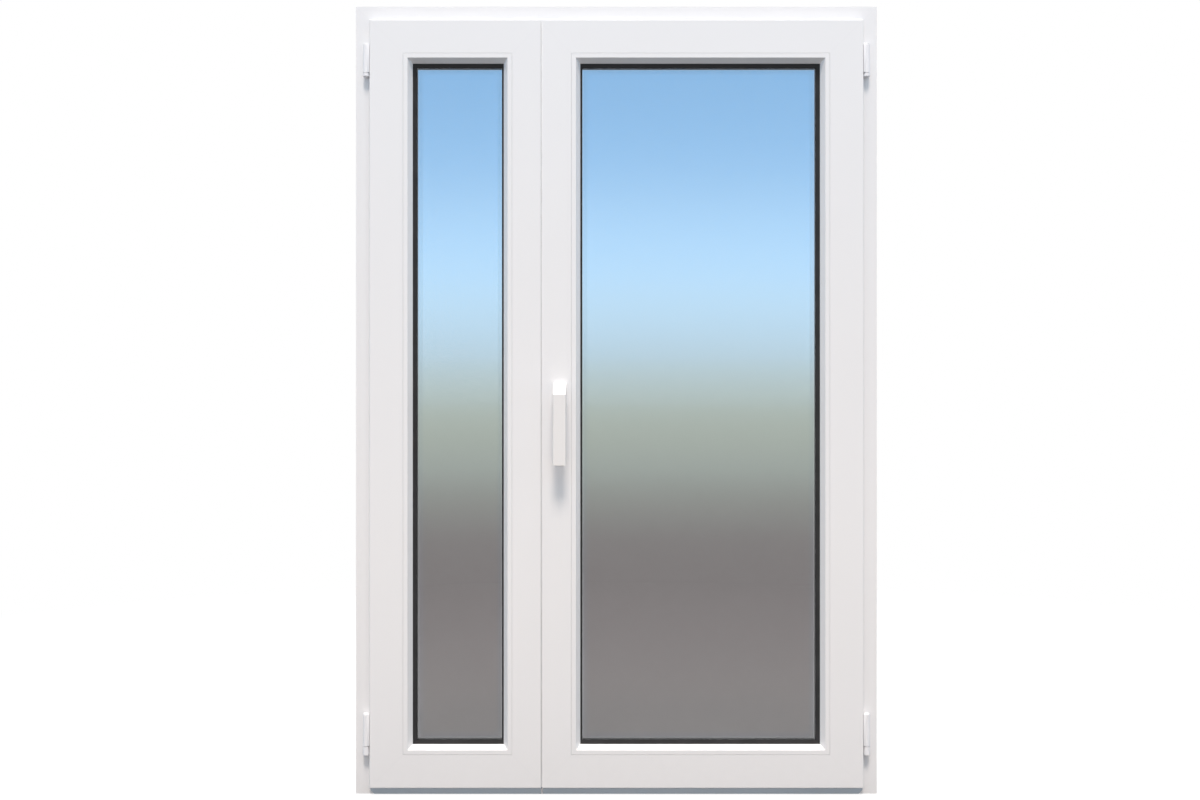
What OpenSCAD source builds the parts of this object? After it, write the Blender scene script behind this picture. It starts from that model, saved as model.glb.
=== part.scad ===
// Two-leaf French doors in a welded plastic frame, seen from the room side.
// X runs to the right, Y runs out of doors, Z runs up; the room is at negative Y.
// The origin is the middle of the threshold's underside, halfway through the frame's depth.

/* [Overall] */
// Width over the outer frame
door_w = 1324; // [1200:1:1700]
// Height from the floor to the top of the outer frame
door_h = 2000; // [1950:1:2400]
// Width of the narrow passive leaf, hinge edge to meeting edge
passive_w = 434; // [400:1:560]
// Gap between the two meeting edges
seam_gap = 4; // [3.6:0.1:6]

/* [Outer frame] */
// Depth of the outer frame, room face to outdoor face
frame_d = 76; // [74:1:90]
// Width of the frame section, wall side to rebate
frame_body = 46; // [42:1:54]
// Strip of the frame that shows round the closed leaves
frame_face = 37; // [30:1:40]
// Width of the outdoor stop lip beyond the rebate
lip_w = 20; // [16:1:22]
// Thickness of the outdoor stop lip
lip_t = 20; // [16:1:21]
// Radius of the holes for the wall screws
fixing_r = 4; // [3:0.25:5]
// Height of the lowest wall screw above the floor
fixing_z = 220; // [150:10:280]

/* [Sash] */
// Depth of the sash section
sash_d = 70; // [68:1:72]
// Thickness of the flange that laps the frame
flange_t = 14; // [12:1:16]
// Width of the flange, leaf edge to sash body
flange_w = 21; // [19:1:24]
// Gap between the flange and the frame face
face_gap = 4; // [3.6:0.2:5]
// Width of the sash face, leaf edge to glazing bead
sash_face = 85; // [80:1:100]
// Amount cut off the flange along the meeting edges
meeting_trim = 12; // [10:0.5:13]
// Radius on the edges of the visible profiles
edge_r = 2.5; // [1:0.5:4]
// Clear height under the closed leaves
floor_gap = 18; // [14:0.5:20]

/* [Glazing] */
// Thickness of one glass pane
pane_t = 4; // [3:0.5:5]
// Space between the two panes
cavity = 16; // [12:1:16]
// Thickness of the rubber on each side of the glass
gasket_t = 4; // [3:0.5:5]
// Rubber that shows between bead and glass on three sides
gasket_show = 10.5; // [8:0.5:12]
// Rubber that shows along the meeting stile
meeting_show = 5; // [4:0.5:7]
// Flat face of the glazing bead
bead_flat = 11.5; // [8:0.5:14]
// Width of the slope on the glazing bead
bead_slope = 10.8; // [8:0.2:14]
// Depth of the glazing bead
bead_d = 20; // [18:0.5:22]
// Air round the edge of the glass
glass_gap = 6; // [4:0.5:8]

/* [Hinges] */
// Diameter of the hinge barrels
barrel_d = 15.5; // [14:0.5:16]
// Distance of the hinge axis from the leaf edge
hinge_out = 8.9; // [8.7:0.1:10]
// Diameter of the hinge pins
pin_d = 8; // [6:0.5:9]
// Radial play between pin and leaf barrel
pin_play = 0.06; // [0.03:0.01:0.1]
// Thickness of the hinge plates
plate_t = 2.4; // [2:0.1:2.6]
// Foot of the lower hinge above the floor
lower_hinge_z = 102; // [90:1:200]
// Height of the lower hinge
lower_hinge_h = 104; // [90:1:120]
// Height of the fixed knuckle of the lower hinge
lower_knuckle_h = 21; // [16:1:26]
// Head of the upper hinge below the top of the frame
upper_hinge_drop = 98; // [80:0.5:160]
// Height of the upper hinge
upper_hinge_h = 81.5; // [76:0.5:100]
// Height of the fixed knuckle of the upper hinge
upper_knuckle_h = 7; // [6:0.5:12]

/* [Handle] */
// Height of the handle spindle above the floor
spindle_z = 1016; // [950:1:1080]
// Distance of the spindle from the face of the lock
backset = 35; // [34:0.5:38]
// Width of the lever
lever_w = 32; // [24:1:34]
// Thickness of the lever
lever_t = 12; // [9:0.5:15]
// Lever below the spindle
lever_drop = 181; // [140:1:200]
// Lever above the spindle
lever_rise = 27; // [26:1:34]
// Height of the slope that joins neck and lever
slope_h = 29; // [24:1:36]
// Distance of the lever's front from the sash face
lever_reach = 50; // [44:1:60]
// Height of the handle base
rosette_h = 58; // [56:1:70]
// Width of the handle base
rosette_w = 33; // [28:1:38]
// Thickness of the handle base
rosette_t = 9; // [7:0.5:11]
// Side of the square spindle
spindle_a = 7; // [6:0.5:8]
// Spacing of the two handle screws
screw_pitch = 43; // [40:1:44]

/* [Lock] */
// Module of the rack and pinion
gear_m = 2; // [2:0.1:2.2]
// Width of the lock's face plate
face_w = 16; // [14:1:18]
// Thickness of the lock's face plate
face_t = 2.5; // [2:0.25:3]
// Width of the lock rods
rod_w = 8; // [6:0.5:9]
// Thickness of the lock rods
rod_t = 6; // [5:0.5:6.5]
// Radius of the roller cams
cam_r = 4.5; // [3.5:0.25:5]
// Diameter of the flush bolts
bolt_d = 8; // [6:0.5:9]
// Travel of the flush bolts
bolt_travel = 24; // [22:0.5:26]

/* [Threshold] */
// Height of the threshold under the leaves
sill_h = 22; // [20:0.5:24]
// Reach of the threshold in front of the frame's room face
nose_d = 2; // [1.5:0.1:2.5]
// Wall of the aluminium rail
rail_t = 3.5; // [2.5:0.25:4]

/* [Hidden] */
$fn = 48;

// Colours of the finishes
white = [0.93, 0.93, 0.94];
black = [0.10, 0.10, 0.11];
clear = [0.66, 0.80, 0.92, 0.5];
alloy = [0.55, 0.57, 0.60];
steel = [0.72, 0.73, 0.74];

// Cutting allowance and the small fits between pieces
cut = 1;
seat = 0.2;
soft_gap = 0.4;
bead_gap = 0.3;
hole_play = 0.1;

// Planes through the depth, from the room outwards
frame_room = -frame_d / 2;
frame_out = frame_d / 2;
lip_room = frame_out - lip_t;
flange_back = frame_room - face_gap;
sash_room = flange_back - flange_t;
sash_out = sash_room + sash_d;
bead_back = sash_room + bead_d;
glass_room = bead_back + gasket_t;
cavity_room = glass_room + pane_t;
cavity_out = cavity_room + cavity;
glass_out = cavity_out + pane_t;
glass_seat = glass_out + gasket_t;

// Leaf edges; each leaf's glazing is worked from an untrimmed rectangle [left, right, bottom, top]
leaf_edge = door_w / 2 - frame_face;
leaf_top = door_h - frame_face;
passive_edge = -leaf_edge + passive_w;
active_edge = passive_edge + seam_gap;
passive_rect = [-leaf_edge, passive_edge + meeting_trim, floor_gap, leaf_top];
active_rect = [active_edge - meeting_trim, leaf_edge, floor_gap, leaf_top];
frame_rect = [-door_w / 2, door_w / 2, -door_w, door_h];
body_back = flange_w - meeting_trim;
active_body = active_edge + body_back;
passive_body = passive_edge - body_back;
sash_foot = floor_gap + flange_w;
sash_head = leaf_top - flange_w;
frame_head = door_h - frame_body;
rebate_x = door_w / 2 - frame_body;
body_x = leaf_edge - flange_w;

// Distances from the leaf edge to the glazing lines
bead_start = sash_face + bead_gap;
slope_start = sash_face + bead_flat;
slope_end = slope_start + bead_slope;
sight = slope_end + gasket_show;
glass_edge = sash_face + glass_gap;
meeting_shift = gasket_show - meeting_show;
outer_sight = sight - meeting_shift - 2;
clip_d = 4;
clip_w = 3;
clip_y = sash_room + bead_d / 2;

// Hinge axis and levels
axis_x = leaf_edge + hinge_out;
axis_y = sash_room + flange_t / 2;
barrel_r = barrel_d / 2;
knuckle_gap = 1.2;
pin_grip = 45;
upper_hinge_z = door_h - upper_hinge_drop - upper_hinge_h;
hinge_plate_d = 46;
hinge_screw_r = 2.2;
hinge_screw_head_r = 4;
hinge_screw_head_h = 1.8;
hinge_screw_l = 22;
hinge_screw_y = frame_room + hinge_plate_d * 0.6;

// Lock layout
lock_y = sash_room + bead_d + gasket_t + pane_t + cavity / 2 + 6;
spindle_x = active_body + backset;
teeth = 12;
pitch_r = teeth * gear_m / 2;
gear_add = 0.95 * gear_m;
rack_add = 0.62 * gear_m;
rack_ded = 1.1 * gear_m;
backlash = 0.09 * gear_m;
pressure = 20;
rack_pitch = PI * gear_m;
rod_travel = pitch_r * PI / 2;
slide_play = 0.3;
case_wall = 2;
case_h = 124;
hub_r = spindle_a * 0.71 + 2;
rod_back = active_body + face_t + 2 + rod_t;
rack_body = 6;
case_back = spindle_x + pitch_r + rack_ded + rack_body + slide_play + case_wall;
jog_h = 8;
jog_clear = 2;
cam_tip = active_body - (body_back + seam_gap / 2 - 0.5);
plate_end = 20;
rod_top = sash_head - 3 * flange_w;
rod_foot = sash_foot + 4 * flange_w;
upper_cams = [for (part = [0.28, 0.68]) spindle_z + part * (rod_top - spindle_z)];
lower_cams = [for (part = [0.3, 0.7]) spindle_z - part * (spindle_z - rod_foot)];

// Flush bolt layout
bolt_x = passive_body - 8;
bolt_r = bolt_d / 2;
plate_l = 240;
bolt_l = plate_l;
bolt_hide = 2;
bolt_tip = 2;
tab_h = 12;
tab_w = 6;
plate_drop = 80;
tab_at = plate_l / 2 + plate_drop;
keep_l = 36;
keep_w = 18;
keep_t = 2;

// Handle layout
handle_screw_r = 2.5;
journal_r = 10;
neck_gap = 0.4;
spindle_in = 18;

// Rectangle drawn in by a margin on all sides
function inset(r, d) = [r[0] + d, r[1] - d, r[2] + d, r[3] - d];

// Points of an arc about c, from angle a to angle b
function arc(c, r, a, b, n = 4) = [for (i = [0:n]) let (t = a + (b - a) * i / n) c + r * [cos(t), sin(t)]];

// Block between two opposite corners
module block(a, b) {
    translate(a) cube(b - a);
}

// Slab over a rectangle between two depths
module slab(r, y0, y1) {
    block([r[0], y0, r[2]], [r[1], y1, r[3]]);
}

// Flat ring inside a rectangle, between two insets and two depths
module ring(r, s0, s1, y0, y1) {
    difference() {
        slab(inset(r, s0), y0, y1);
        slab(inset(r, s1), y0 - cut, y1 + cut);
    }
}

// Wedge that cuts one side of a rectangle to 45 degree mitres
module mitre(r, side, depth) {
    in = inset(r, depth);
    pts = side == "left" ? [[r[0], r[2]], [r[0], r[3]], [in[0], in[3]], [in[0], in[2]]]
        : side == "right" ? [[r[1], r[2]], [r[1], r[3]], [in[1], in[3]], [in[1], in[2]]]
        : side == "top" ? [[r[0], r[3]], [r[1], r[3]], [in[1], in[3]], [in[0], in[3]]]
        : [[r[0], r[2]], [r[1], r[2]], [in[1], in[2]], [in[0], in[2]]];
    translate([0, frame_d, 0]) rotate([90, 0, 0]) linear_extrude(2 * frame_d) polygon(pts);
}

// A profile run along one side of a rectangle; the profile is drawn as [inset, depth]
module run(r, side) {
    w = r[1] - r[0];
    h = r[3] - r[2];
    if (side == "left") translate([r[0], 0, r[2]]) linear_extrude(h) children();
    if (side == "right") translate([r[1], 0, r[2]]) mirror([1, 0, 0]) linear_extrude(h) children();
    if (side == "bottom") translate([r[1], 0, r[2]]) rotate([0, -90, 0]) linear_extrude(w) children();
    if (side == "top")
        translate([r[1], 0, r[3]]) mirror([0, 0, 1]) rotate([0, -90, 0]) linear_extrude(w) children();
}

// One mitred member of a frame
module member(r, side, depth) {
    intersection() {
        run(r, side) children();
        mitre(r, side, depth);
    }
}

// Hole along X
module hole_x(x0, x1, y, z, r) {
    translate([x0, y, z]) rotate([0, 90, 0]) cylinder(h = x1 - x0, r = r);
}

// Hole along Y
module hole_y(y0, y1, x, z, r) {
    translate([x, y0, z]) rotate([-90, 0, 0]) cylinder(h = y1 - y0, r = r);
}

// Hole along Z
module hole_z(z0, z1, x, y, r) {
    translate([x, y, z0]) cylinder(h = z1 - z0, r = r);
}

// Section of the sash: lapping flange, body, glazing rebate, bead clip groove and outdoor lip
module sash_section() {
    bevel = 6;
    difference() {
        polygon(concat(arc([edge_r, sash_room + edge_r], edge_r, 180, 270),
            [[sash_face, sash_room], [sash_face, glass_seat], [outer_sight, glass_seat],
            [outer_sight, sash_out - bevel], [outer_sight - bevel, sash_out], [flange_w, sash_out],
            [flange_w, flange_back], [1, flange_back], [0, flange_back - 1]]));
        translate([sash_face - clip_d, clip_y - clip_w / 2 - bead_gap])
            square([clip_d + cut, clip_w + 2 * bead_gap]);
    }
}

// Section of a glazing bead: flat, slope, clip foot and the hollow at its back
module bead_section() {
    wall = 3;
    difference() {
        union() {
            polygon([[bead_start, sash_room + 0.5], [bead_start + 0.5, sash_room], [slope_start, sash_room],
                [slope_end, bead_back - 1], [slope_end, bead_back], [bead_start, bead_back]]);
            translate([sash_face - clip_d + bead_gap, clip_y - clip_w / 2]) square([clip_d, clip_w]);
        }
        translate([bead_start + wall, sash_room + wall]) square([bead_flat - wall, bead_d]);
    }
}

// Waste outside a rounded edge of the frame section; the corner is at [s, y], dir faces the room or out
module edge_waste(s, y, dir) {
    polygon(concat([[s - edge_r, y + dir * cut], [s + cut, y + dir * cut], [s + cut, y - dir * edge_r]],
        arc([s - edge_r, y - dir * edge_r], edge_r, 0, dir * 90)));
}

// Open space of the doorway inside a margin, between two depths
module doorway(s, y0, y1) {
    block([-door_w / 2 + s, y0, -cut], [door_w / 2 - s, y1, door_h - s]);
}

// Groove round the wall side of the frame
module wall_groove(y0, y1, depth) {
    difference() {
        block([-door_w, y0, -cut], [door_w, y1, door_h + cut]);
        block([-door_w / 2 + depth, y0 - cut, -2 * cut], [door_w / 2 - depth, y1 + cut, door_h - depth]);
    }
}

// Welded frame of two jambs and a head: room face, rebate with its groove, stop lip, wall-side grooves
module outer_frame() {
    groove = 4;
    lip_in = frame_body + lip_w;
    color(white) difference() {
        block([-door_w / 2, frame_room, 0], [door_w / 2, frame_out, door_h]);
        doorway(frame_body, frame_room - cut, lip_room);
        doorway(lip_in, frame_room, frame_out + cut);
        doorway(frame_body - groove / 2, -groove, 2 * groove);
        for (y = [-5, 2.5]) wall_groove(y * groove, (y + 2.5) * groove, groove);
        for (side = ["left", "right", "top"]) {
            member(frame_rect, side, lip_in + 2 * cut) edge_waste(frame_body, frame_room, -1);
            member(frame_rect, side, lip_in + 2 * cut) edge_waste(lip_in, frame_out, 1);
        }
        for (z = fixing_levels()) {
            hole_x(-door_w / 2 - cut, -rebate_x + cut, 0, z, fixing_r);
            hole_x(rebate_x - cut, door_w / 2 + cut, 0, z, fixing_r);
        }
        hole_z(frame_head - cut, frame_head + bolt_travel - bolt_r, bolt_x, lock_y, bolt_r + 1);
        for (m = [0, 1]) mirror([m, 0, 0]) {
            bracket_screw_holes(upper_hinge_z, upper_hinge_h, rebate_x);
            bracket_screw_holes(lower_hinge_z, lower_hinge_h, rebate_x);
        }
    }
}

// Levels of the four wall screws in each jamb
function fixing_levels() = [for (i = [0:3]) fixing_z + i * (door_h - 2 * fixing_z) / 3];

// Front of the threshold, and points of its outside, as [depth, height]
sill_front = frame_room - nose_d;
sill_lip = 4;
sill_fall = 6;
function sill_points() = [[sill_front, 0], [sill_front, sill_h - 1], [sill_front + 1, sill_h],
    [lip_room - sill_lip - 2, sill_h], [lip_room - sill_lip, sill_h + sill_lip],
    [lip_room + 5, sill_h + sill_lip],
    [frame_out, sill_h - sill_fall], [frame_out, 0]];

// Points of the core under the aluminium rail
function core_points(foot = 0) = [[sill_front + rail_t, foot], [sill_front + rail_t, sill_h - rail_t],
    [lip_room + 4, sill_h - rail_t], [frame_out - rail_t, sill_h - sill_fall - rail_t],
    [frame_out - rail_t, foot]];

// Sill profile run across the doorway
module sill_run(pts, half) {
    translate([-half, 0, 0]) rotate([90, 0, 90]) linear_extrude(2 * half) polygon(pts);
}

// Room for the jambs at both ends of the threshold
module jamb_copes() {
    for (m = [0, 1]) mirror([m, 0, 0]) {
        block([rebate_x - seat, frame_room - seat, -cut], [door_w, frame_d, door_h]);
        block([rebate_x - lip_w - seat, lip_room - seat, -cut], [door_w, frame_d, door_h]);
    }
}

// Insulating core of the threshold
module threshold_base() {
    color(black) difference() {
        sill_run(core_points(), leaf_edge - seat);
        jamb_copes();
        threshold_bolt_hole();
    }
}

// Aluminium rail over the core
module threshold_rail() {
    color(alloy) difference() {
        sill_run(sill_points(), leaf_edge - seat);
        sill_run(core_points(-cut), leaf_edge + cut);
        jamb_copes();
        threshold_bolt_hole();
        bolt_keep_box(sill_h - keep_t, sill_h + cut, seat);
        for (m = [0, 1]) mirror([m, 0, 0]) rail_end_waste();
    }
}

// Waste under the sloped end of the rail's front
module rail_end_waste() {
    slope = 10;
    translate([0, frame_room, 0]) rotate([90, 0, 0]) linear_extrude(nose_d + cut)
        polygon([[leaf_edge - slope - cut, -cut], [leaf_edge + cut, -cut], [leaf_edge + cut, slope + cut]]);
}

// White strip over the joint of the rail under the meeting edges
module threshold_joint_strip() {
    x = passive_edge + seam_gap / 2;
    half = 2.5;
    color(white) translate([x, 0, 0]) rotate([90, 0, 90]) translate([0, 0, -half]) linear_extrude(2 * half)
        polygon([[sill_front - 1, 0], [sill_front - 1, floor_gap - 4], [sill_front, floor_gap - 3],
            [sill_front, 0]]);
}

// Pocket for the lower flush bolt
module threshold_bolt_hole() {
    hole_z(sash_foot - bolt_travel - bolt_r, sill_h + cut, bolt_x, lock_y, bolt_r + 1);
}

// Weather seal on the stop lip, round three sides
module frame_gasket() {
    from = frame_body + 4;
    color(black) difference() {
        union() {
            ring(frame_rect, from, from + 8, lip_room - 1.6, lip_room);
            ring(frame_rect, from + 2, from + 6, sash_out + soft_gap, lip_room - 1);
        }
        block([-door_w, -frame_d, -2 * door_w], [door_w, frame_d, sill_h + sill_lip + seat]);
    }
}

// Plate that takes the upper flush bolt
module head_bolt_keep() {
    color(steel) bolt_keep(frame_head - keep_t, frame_head);
}

// Plate that takes the lower flush bolt, let into the rail
module threshold_bolt_keep() {
    color(steel) bolt_keep(sill_h - keep_t, sill_h);
}

// Outline of a bolt keep, with room round it
module bolt_keep_box(z0, z1, room) {
    block([bolt_x - keep_l / 2 - room, lock_y - keep_w / 2 - room, z0],
        [bolt_x + keep_l / 2 + room, lock_y + keep_w / 2 + room, z1]);
}

module bolt_keep(z0, z1) {
    difference() {
        bolt_keep_box(z0, z1, 0);
        hole_z(z0 - cut, z1 + cut, bolt_x, lock_y, bolt_r + 0.6);
    }
}

// Levels of the three screws of a hinge plate
function hinge_screw_levels(z, h) = [for (i = [0:2]) z + h * (0.2 + 0.3 * i)];

// Screw holes from the rebate into the right-hand jamb
module bracket_screw_holes(z, h, x) {
    for (s = hinge_screw_levels(z, h))
        hole_x(x - plate_t - cut, x + hinge_screw_l, hinge_screw_y, s, hinge_screw_r + hole_play);
}

// Fixed half of a right-hand hinge: knuckle, arm in the face gap and plate in the rebate
module hinge_bracket(z, h, knuckle_h, flare) {
    difference() {
        union() {
            translate([axis_x, axis_y, z]) cylinder(h = knuckle_h, r = barrel_r + flare);
            block([axis_x - barrel_r + 1.75, axis_y, z], [axis_x + 2, frame_room, z + knuckle_h]);
            block([rebate_x - plate_t, frame_room - plate_t, z], [axis_x, frame_room, z + knuckle_h]);
            block([rebate_x - plate_t, frame_room - seat, z], [rebate_x, frame_room + hinge_plate_d, z + h]);
        }
        hole_z(z + 2, z + h, axis_x, axis_y, pin_d / 2 + 0.02);
        bracket_screw_holes(z, h, rebate_x);
    }
}

// Moving half of a right-hand hinge: barrel, arm behind the flange and plate on the sash edge
module hinge_leaf(z, h, knuckle_h) {
    foot = z + knuckle_h + knuckle_gap;
    difference() {
        union() {
            translate([axis_x, axis_y, foot]) cylinder(h = z + h - foot - 2, r = barrel_r);
            translate([axis_x, axis_y, z + h - 2]) cylinder(h = 2, r1 = barrel_r, r2 = barrel_r - 1.5);
            block([axis_x - barrel_r + 1.5, axis_y, foot], [axis_x + 2, flange_back + plate_t, z + h - 3]);
            block([body_x, flange_back, foot], [axis_x, flange_back + plate_t, z + h - 3]);
            block([body_x, flange_back, foot], [body_x + plate_t, frame_room + hinge_plate_d, z + h - 3]);
        }
        hole_z(foot - cut, z + knuckle_h + pin_grip + 1, axis_x, axis_y, pin_d / 2 + pin_play);
        leaf_screw_holes(z, h, body_x);
    }
}

// Levels of the screws of a leaf's hinge plate
function leaf_screw_levels(z, h) = [for (i = [0:2]) z + h * (0.38 + 0.24 * i)];

// Screw holes from the rebate into the sash
module leaf_screw_holes(z, h, x) {
    for (s = leaf_screw_levels(z, h))
        hole_x(x - hinge_screw_l, x + plate_t + cut, hinge_screw_y, s, hinge_screw_r + hole_play);
}

module right_upper_hinge_bracket() {
    color(white) hinge_bracket(upper_hinge_z, upper_hinge_h, upper_knuckle_h, 0.4);
}

module right_lower_hinge_bracket() {
    color(white) hinge_bracket(lower_hinge_z, lower_hinge_h, lower_knuckle_h, 0);
}

module left_upper_hinge_bracket() {
    color(white) mirror([1, 0, 0]) hinge_bracket(upper_hinge_z, upper_hinge_h, upper_knuckle_h, 0.4);
}

module left_lower_hinge_bracket() {
    color(white) mirror([1, 0, 0]) hinge_bracket(lower_hinge_z, lower_hinge_h, lower_knuckle_h, 0);
}

// Pins that stand in the fixed knuckles
module hinge_pins() {
    color(steel) for (m = [0, 1]) mirror([m, 0, 0]) {
        hinge_pin(upper_hinge_z, upper_knuckle_h);
        hinge_pin(lower_hinge_z, lower_knuckle_h);
    }
}

module hinge_pin(z, knuckle_h) {
    translate([axis_x, axis_y, z + 2]) cylinder(h = knuckle_h + pin_grip - 4, r = pin_d / 2);
    translate([axis_x, axis_y, z + knuckle_h + pin_grip - 2])
        cylinder(h = 2, r1 = pin_d / 2, r2 = pin_d / 2 - 1.5);
}

// Pan-head screw along X; the head's flat is at x, the shank runs towards dir
module plate_screw(x, z, dir) {
    translate([x, hinge_screw_y, z]) rotate([0, 90 * dir, 0]) {
        cylinder(h = hinge_screw_l - 2, r = hinge_screw_r);
        translate([0, 0, hinge_screw_l - 2]) cylinder(h = 1.5, r1 = hinge_screw_r, r2 = 0.8);
        translate([0, 0, -hinge_screw_head_h]) cylinder(h = hinge_screw_head_h, r = hinge_screw_head_r);
    }
}

// Screws that hold the hinge brackets to the jambs
module hinge_bracket_screws() {
    color(steel) for (m = [0, 1], s = concat(hinge_screw_levels(upper_hinge_z, upper_hinge_h),
        hinge_screw_levels(lower_hinge_z, lower_hinge_h)))
        mirror([m, 0, 0]) plate_screw(rebate_x - plate_t, s, 1);
}

// Screws that hold the hinge plates to one sash, on the right
module leaf_screws() {
    for (s = concat(leaf_screw_levels(upper_hinge_z, upper_hinge_h),
        leaf_screw_levels(lower_hinge_z, lower_hinge_h)))
        plate_screw(body_x + plate_t, s, -1);
}

// Welded sash frame, without the cuts for its fittings
module sash_frame(r) {
    for (side = ["left", "right", "top", "bottom"]) member(r, side, sight) sash_section();
}

// Screw holes for both hinges of a right-hand leaf
module leaf_hinge_holes() {
    leaf_screw_holes(upper_hinge_z, upper_hinge_h, body_x);
    leaf_screw_holes(lower_hinge_z, lower_hinge_h, body_x);
}

// Shallow tongue on the wide leaf's meeting edge that covers the gap
module meeting_tongue() {
    reach = 0.8 * seam_gap;
    behind = 3;
    block([active_edge - reach, sash_room + behind, floor_gap + behind],
        [active_edge + cut, sash_room + 2 * behind, leaf_top - behind]);
}

// Wide leaf with the lock
module active_sash() {
    color(white) {
        meeting_tongue();
        active_sash_frame();
    }
}

// Sash of the wide leaf with the cuts for its fittings
module active_sash_frame() {
    difference() {
        sash_frame(active_rect);
        block([active_edge - 2 * meeting_trim, -frame_d, 0], [active_edge, frame_d, door_h]);
        leaf_hinge_holes();
        block([active_body - cut, lock_y - face_w / 2 - seat, rod_foot - plate_end - seat],
            [active_body + face_t + seat, lock_y + face_w / 2 + seat, rod_top + plate_end + seat]);
        block([active_body, lock_y - rod_w / 2 - slide_play, rod_foot - 4],
            [rod_back + slide_play, lock_y + rod_w / 2 + slide_play, rod_top + 4]);
        block([active_body, lock_y - rod_w / 2 - case_wall - 2 * slide_play, spindle_z - pocket_half()],
            [case_back + seat, lock_y + rod_w / 2 + case_wall + 2 * slide_play, spindle_z + pocket_half()]);
        hole_y(sash_room - cut, lock_y, spindle_x, spindle_z, hub_r);
        for (s = [-1, 1])
            hole_y(sash_room - cut, lock_y, spindle_x, spindle_z + s * screw_pitch / 2,
                handle_screw_r + hole_play);
    }
}

// Half height of the pocket for the gearbox and the jogs of the rods
function pocket_half() = case_h / 2 + rod_travel + jog_h + 2 * jog_clear;

// Narrow leaf with the flush bolts
module passive_sash() {
    color(white) difference() {
        sash_frame(passive_rect);
        block([passive_edge, -frame_d, 0], [passive_edge + 2 * meeting_trim, frame_d, door_h]);
        mirror([1, 0, 0]) leaf_hinge_holes();
        bolt_cuts();
        bolt_mirror() bolt_cuts();
    }
}

// Turns an upper flush bolt fitting over to the foot of the leaf
module bolt_mirror() {
    translate([0, 0, sash_head + sash_foot]) mirror([0, 0, 1]) children();
}

// Bore, slot and plate recess for the upper flush bolt
module bolt_cuts() {
    top = sash_head - bolt_hide;
    tab_z = top - tab_at;
    hole_z(top - bolt_l - 1, sash_head + flange_w, bolt_x, lock_y, bolt_r + slide_play);
    block([bolt_x, lock_y - tab_w / 2 - slide_play, tab_z - tab_h / 2 - 1],
        [passive_body + cut, lock_y + tab_w / 2 + slide_play, tab_z + tab_h / 2 + bolt_travel + 1]);
    block([passive_body - face_t - seat, lock_y - face_w / 2 - seat, tab_z - plate_l / 2 - seat],
        [passive_body + cut, lock_y + face_w / 2 + seat, tab_z + plate_l / 2 + seat]);
}

// Glazing bead on one side of a leaf
module bead(r, side) {
    color(white) member(r, side, sight) bead_section();
}

module active_bead_top() {
    bead(active_rect, "top");
}

module active_bead_bottom() {
    bead(active_rect, "bottom");
}

module active_bead_meeting() {
    bead(active_rect, "left");
}

module active_bead_hinge() {
    bead(active_rect, "right");
}

module passive_bead_top() {
    bead(passive_rect, "top");
}

module passive_bead_bottom() {
    bead(passive_rect, "bottom");
}

module passive_bead_meeting() {
    bead(passive_rect, "right");
}

module passive_bead_hinge() {
    bead(passive_rect, "left");
}

// One sheet of glass
module pane(r, y) {
    color(clear) slab(inset(r, glass_edge), y, y + pane_t);
}

module active_inner_pane() {
    pane(active_rect, glass_room);
}

module active_outer_pane() {
    pane(active_rect, cavity_out);
}

module passive_inner_pane() {
    pane(passive_rect, glass_room);
}

module passive_outer_pane() {
    pane(passive_rect, cavity_out);
}

// Leaf rectangle let out on its meeting side, left or right, where less rubber shows
function sight_rect(r, left) = left
    ? [r[0] - meeting_shift, r[1], r[2], r[3]]
    : [r[0], r[1] + meeting_shift, r[2], r[3]];

// Black edge spacer and sealant between the panes
module spacer(r, left) {
    color(black) difference() {
        slab(inset(r, glass_edge + 1), cavity_room, cavity_out);
        slab(inset(sight_rect(r, left), sight), cavity_room - cut, cavity_out + cut);
    }
}

module active_spacer() {
    spacer(active_rect, true);
}

module passive_spacer() {
    spacer(passive_rect, false);
}

// Rubber between the beads and the glass
module inner_gasket(r, left) {
    root = slope_end - 7;
    color(black) for (side = ["left", "right", "top", "bottom"]) member(sight_rect(r, left), side, sight + 1)
        polygon([[root, bead_back], [slope_end, bead_back], [sight - 1, glass_room - 1], [sight, glass_room],
            [root, glass_room]]);
}

module active_inner_gasket() {
    inner_gasket(active_rect, true);
}

module passive_inner_gasket() {
    inner_gasket(passive_rect, false);
}

// Rubber between the glass and the outdoor lip of the sash
module outer_gasket(r) {
    color(black) ring(r, outer_sight - 10, outer_sight + 1, glass_out, glass_seat);
}

module active_outer_gasket() {
    outer_gasket(active_rect);
}

module passive_outer_gasket() {
    outer_gasket(passive_rect);
}

// Blocks that carry the glass on the bottom rail, and side blocks that steady it
module setting_blocks(r) {
    length = 80;
    from_corner = 45;
    lo = inset(r, sash_face);
    in = inset(r, glass_edge);
    color(black) {
        for (x = [lo[0] + from_corner, lo[1] - from_corner - length])
            block([x, glass_room, lo[2]], [x + length, glass_out, in[2]]);
        for (z = [lo[2] + from_corner, lo[3] - from_corner - length]) {
            block([lo[0], glass_room, z], [in[0], glass_out, z + length]);
            block([in[1], glass_room, z], [lo[1], glass_out, z + length]);
        }
    }
}

module active_setting_blocks() {
    setting_blocks(active_rect);
}

module passive_setting_blocks() {
    setting_blocks(passive_rect);
}

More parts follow.
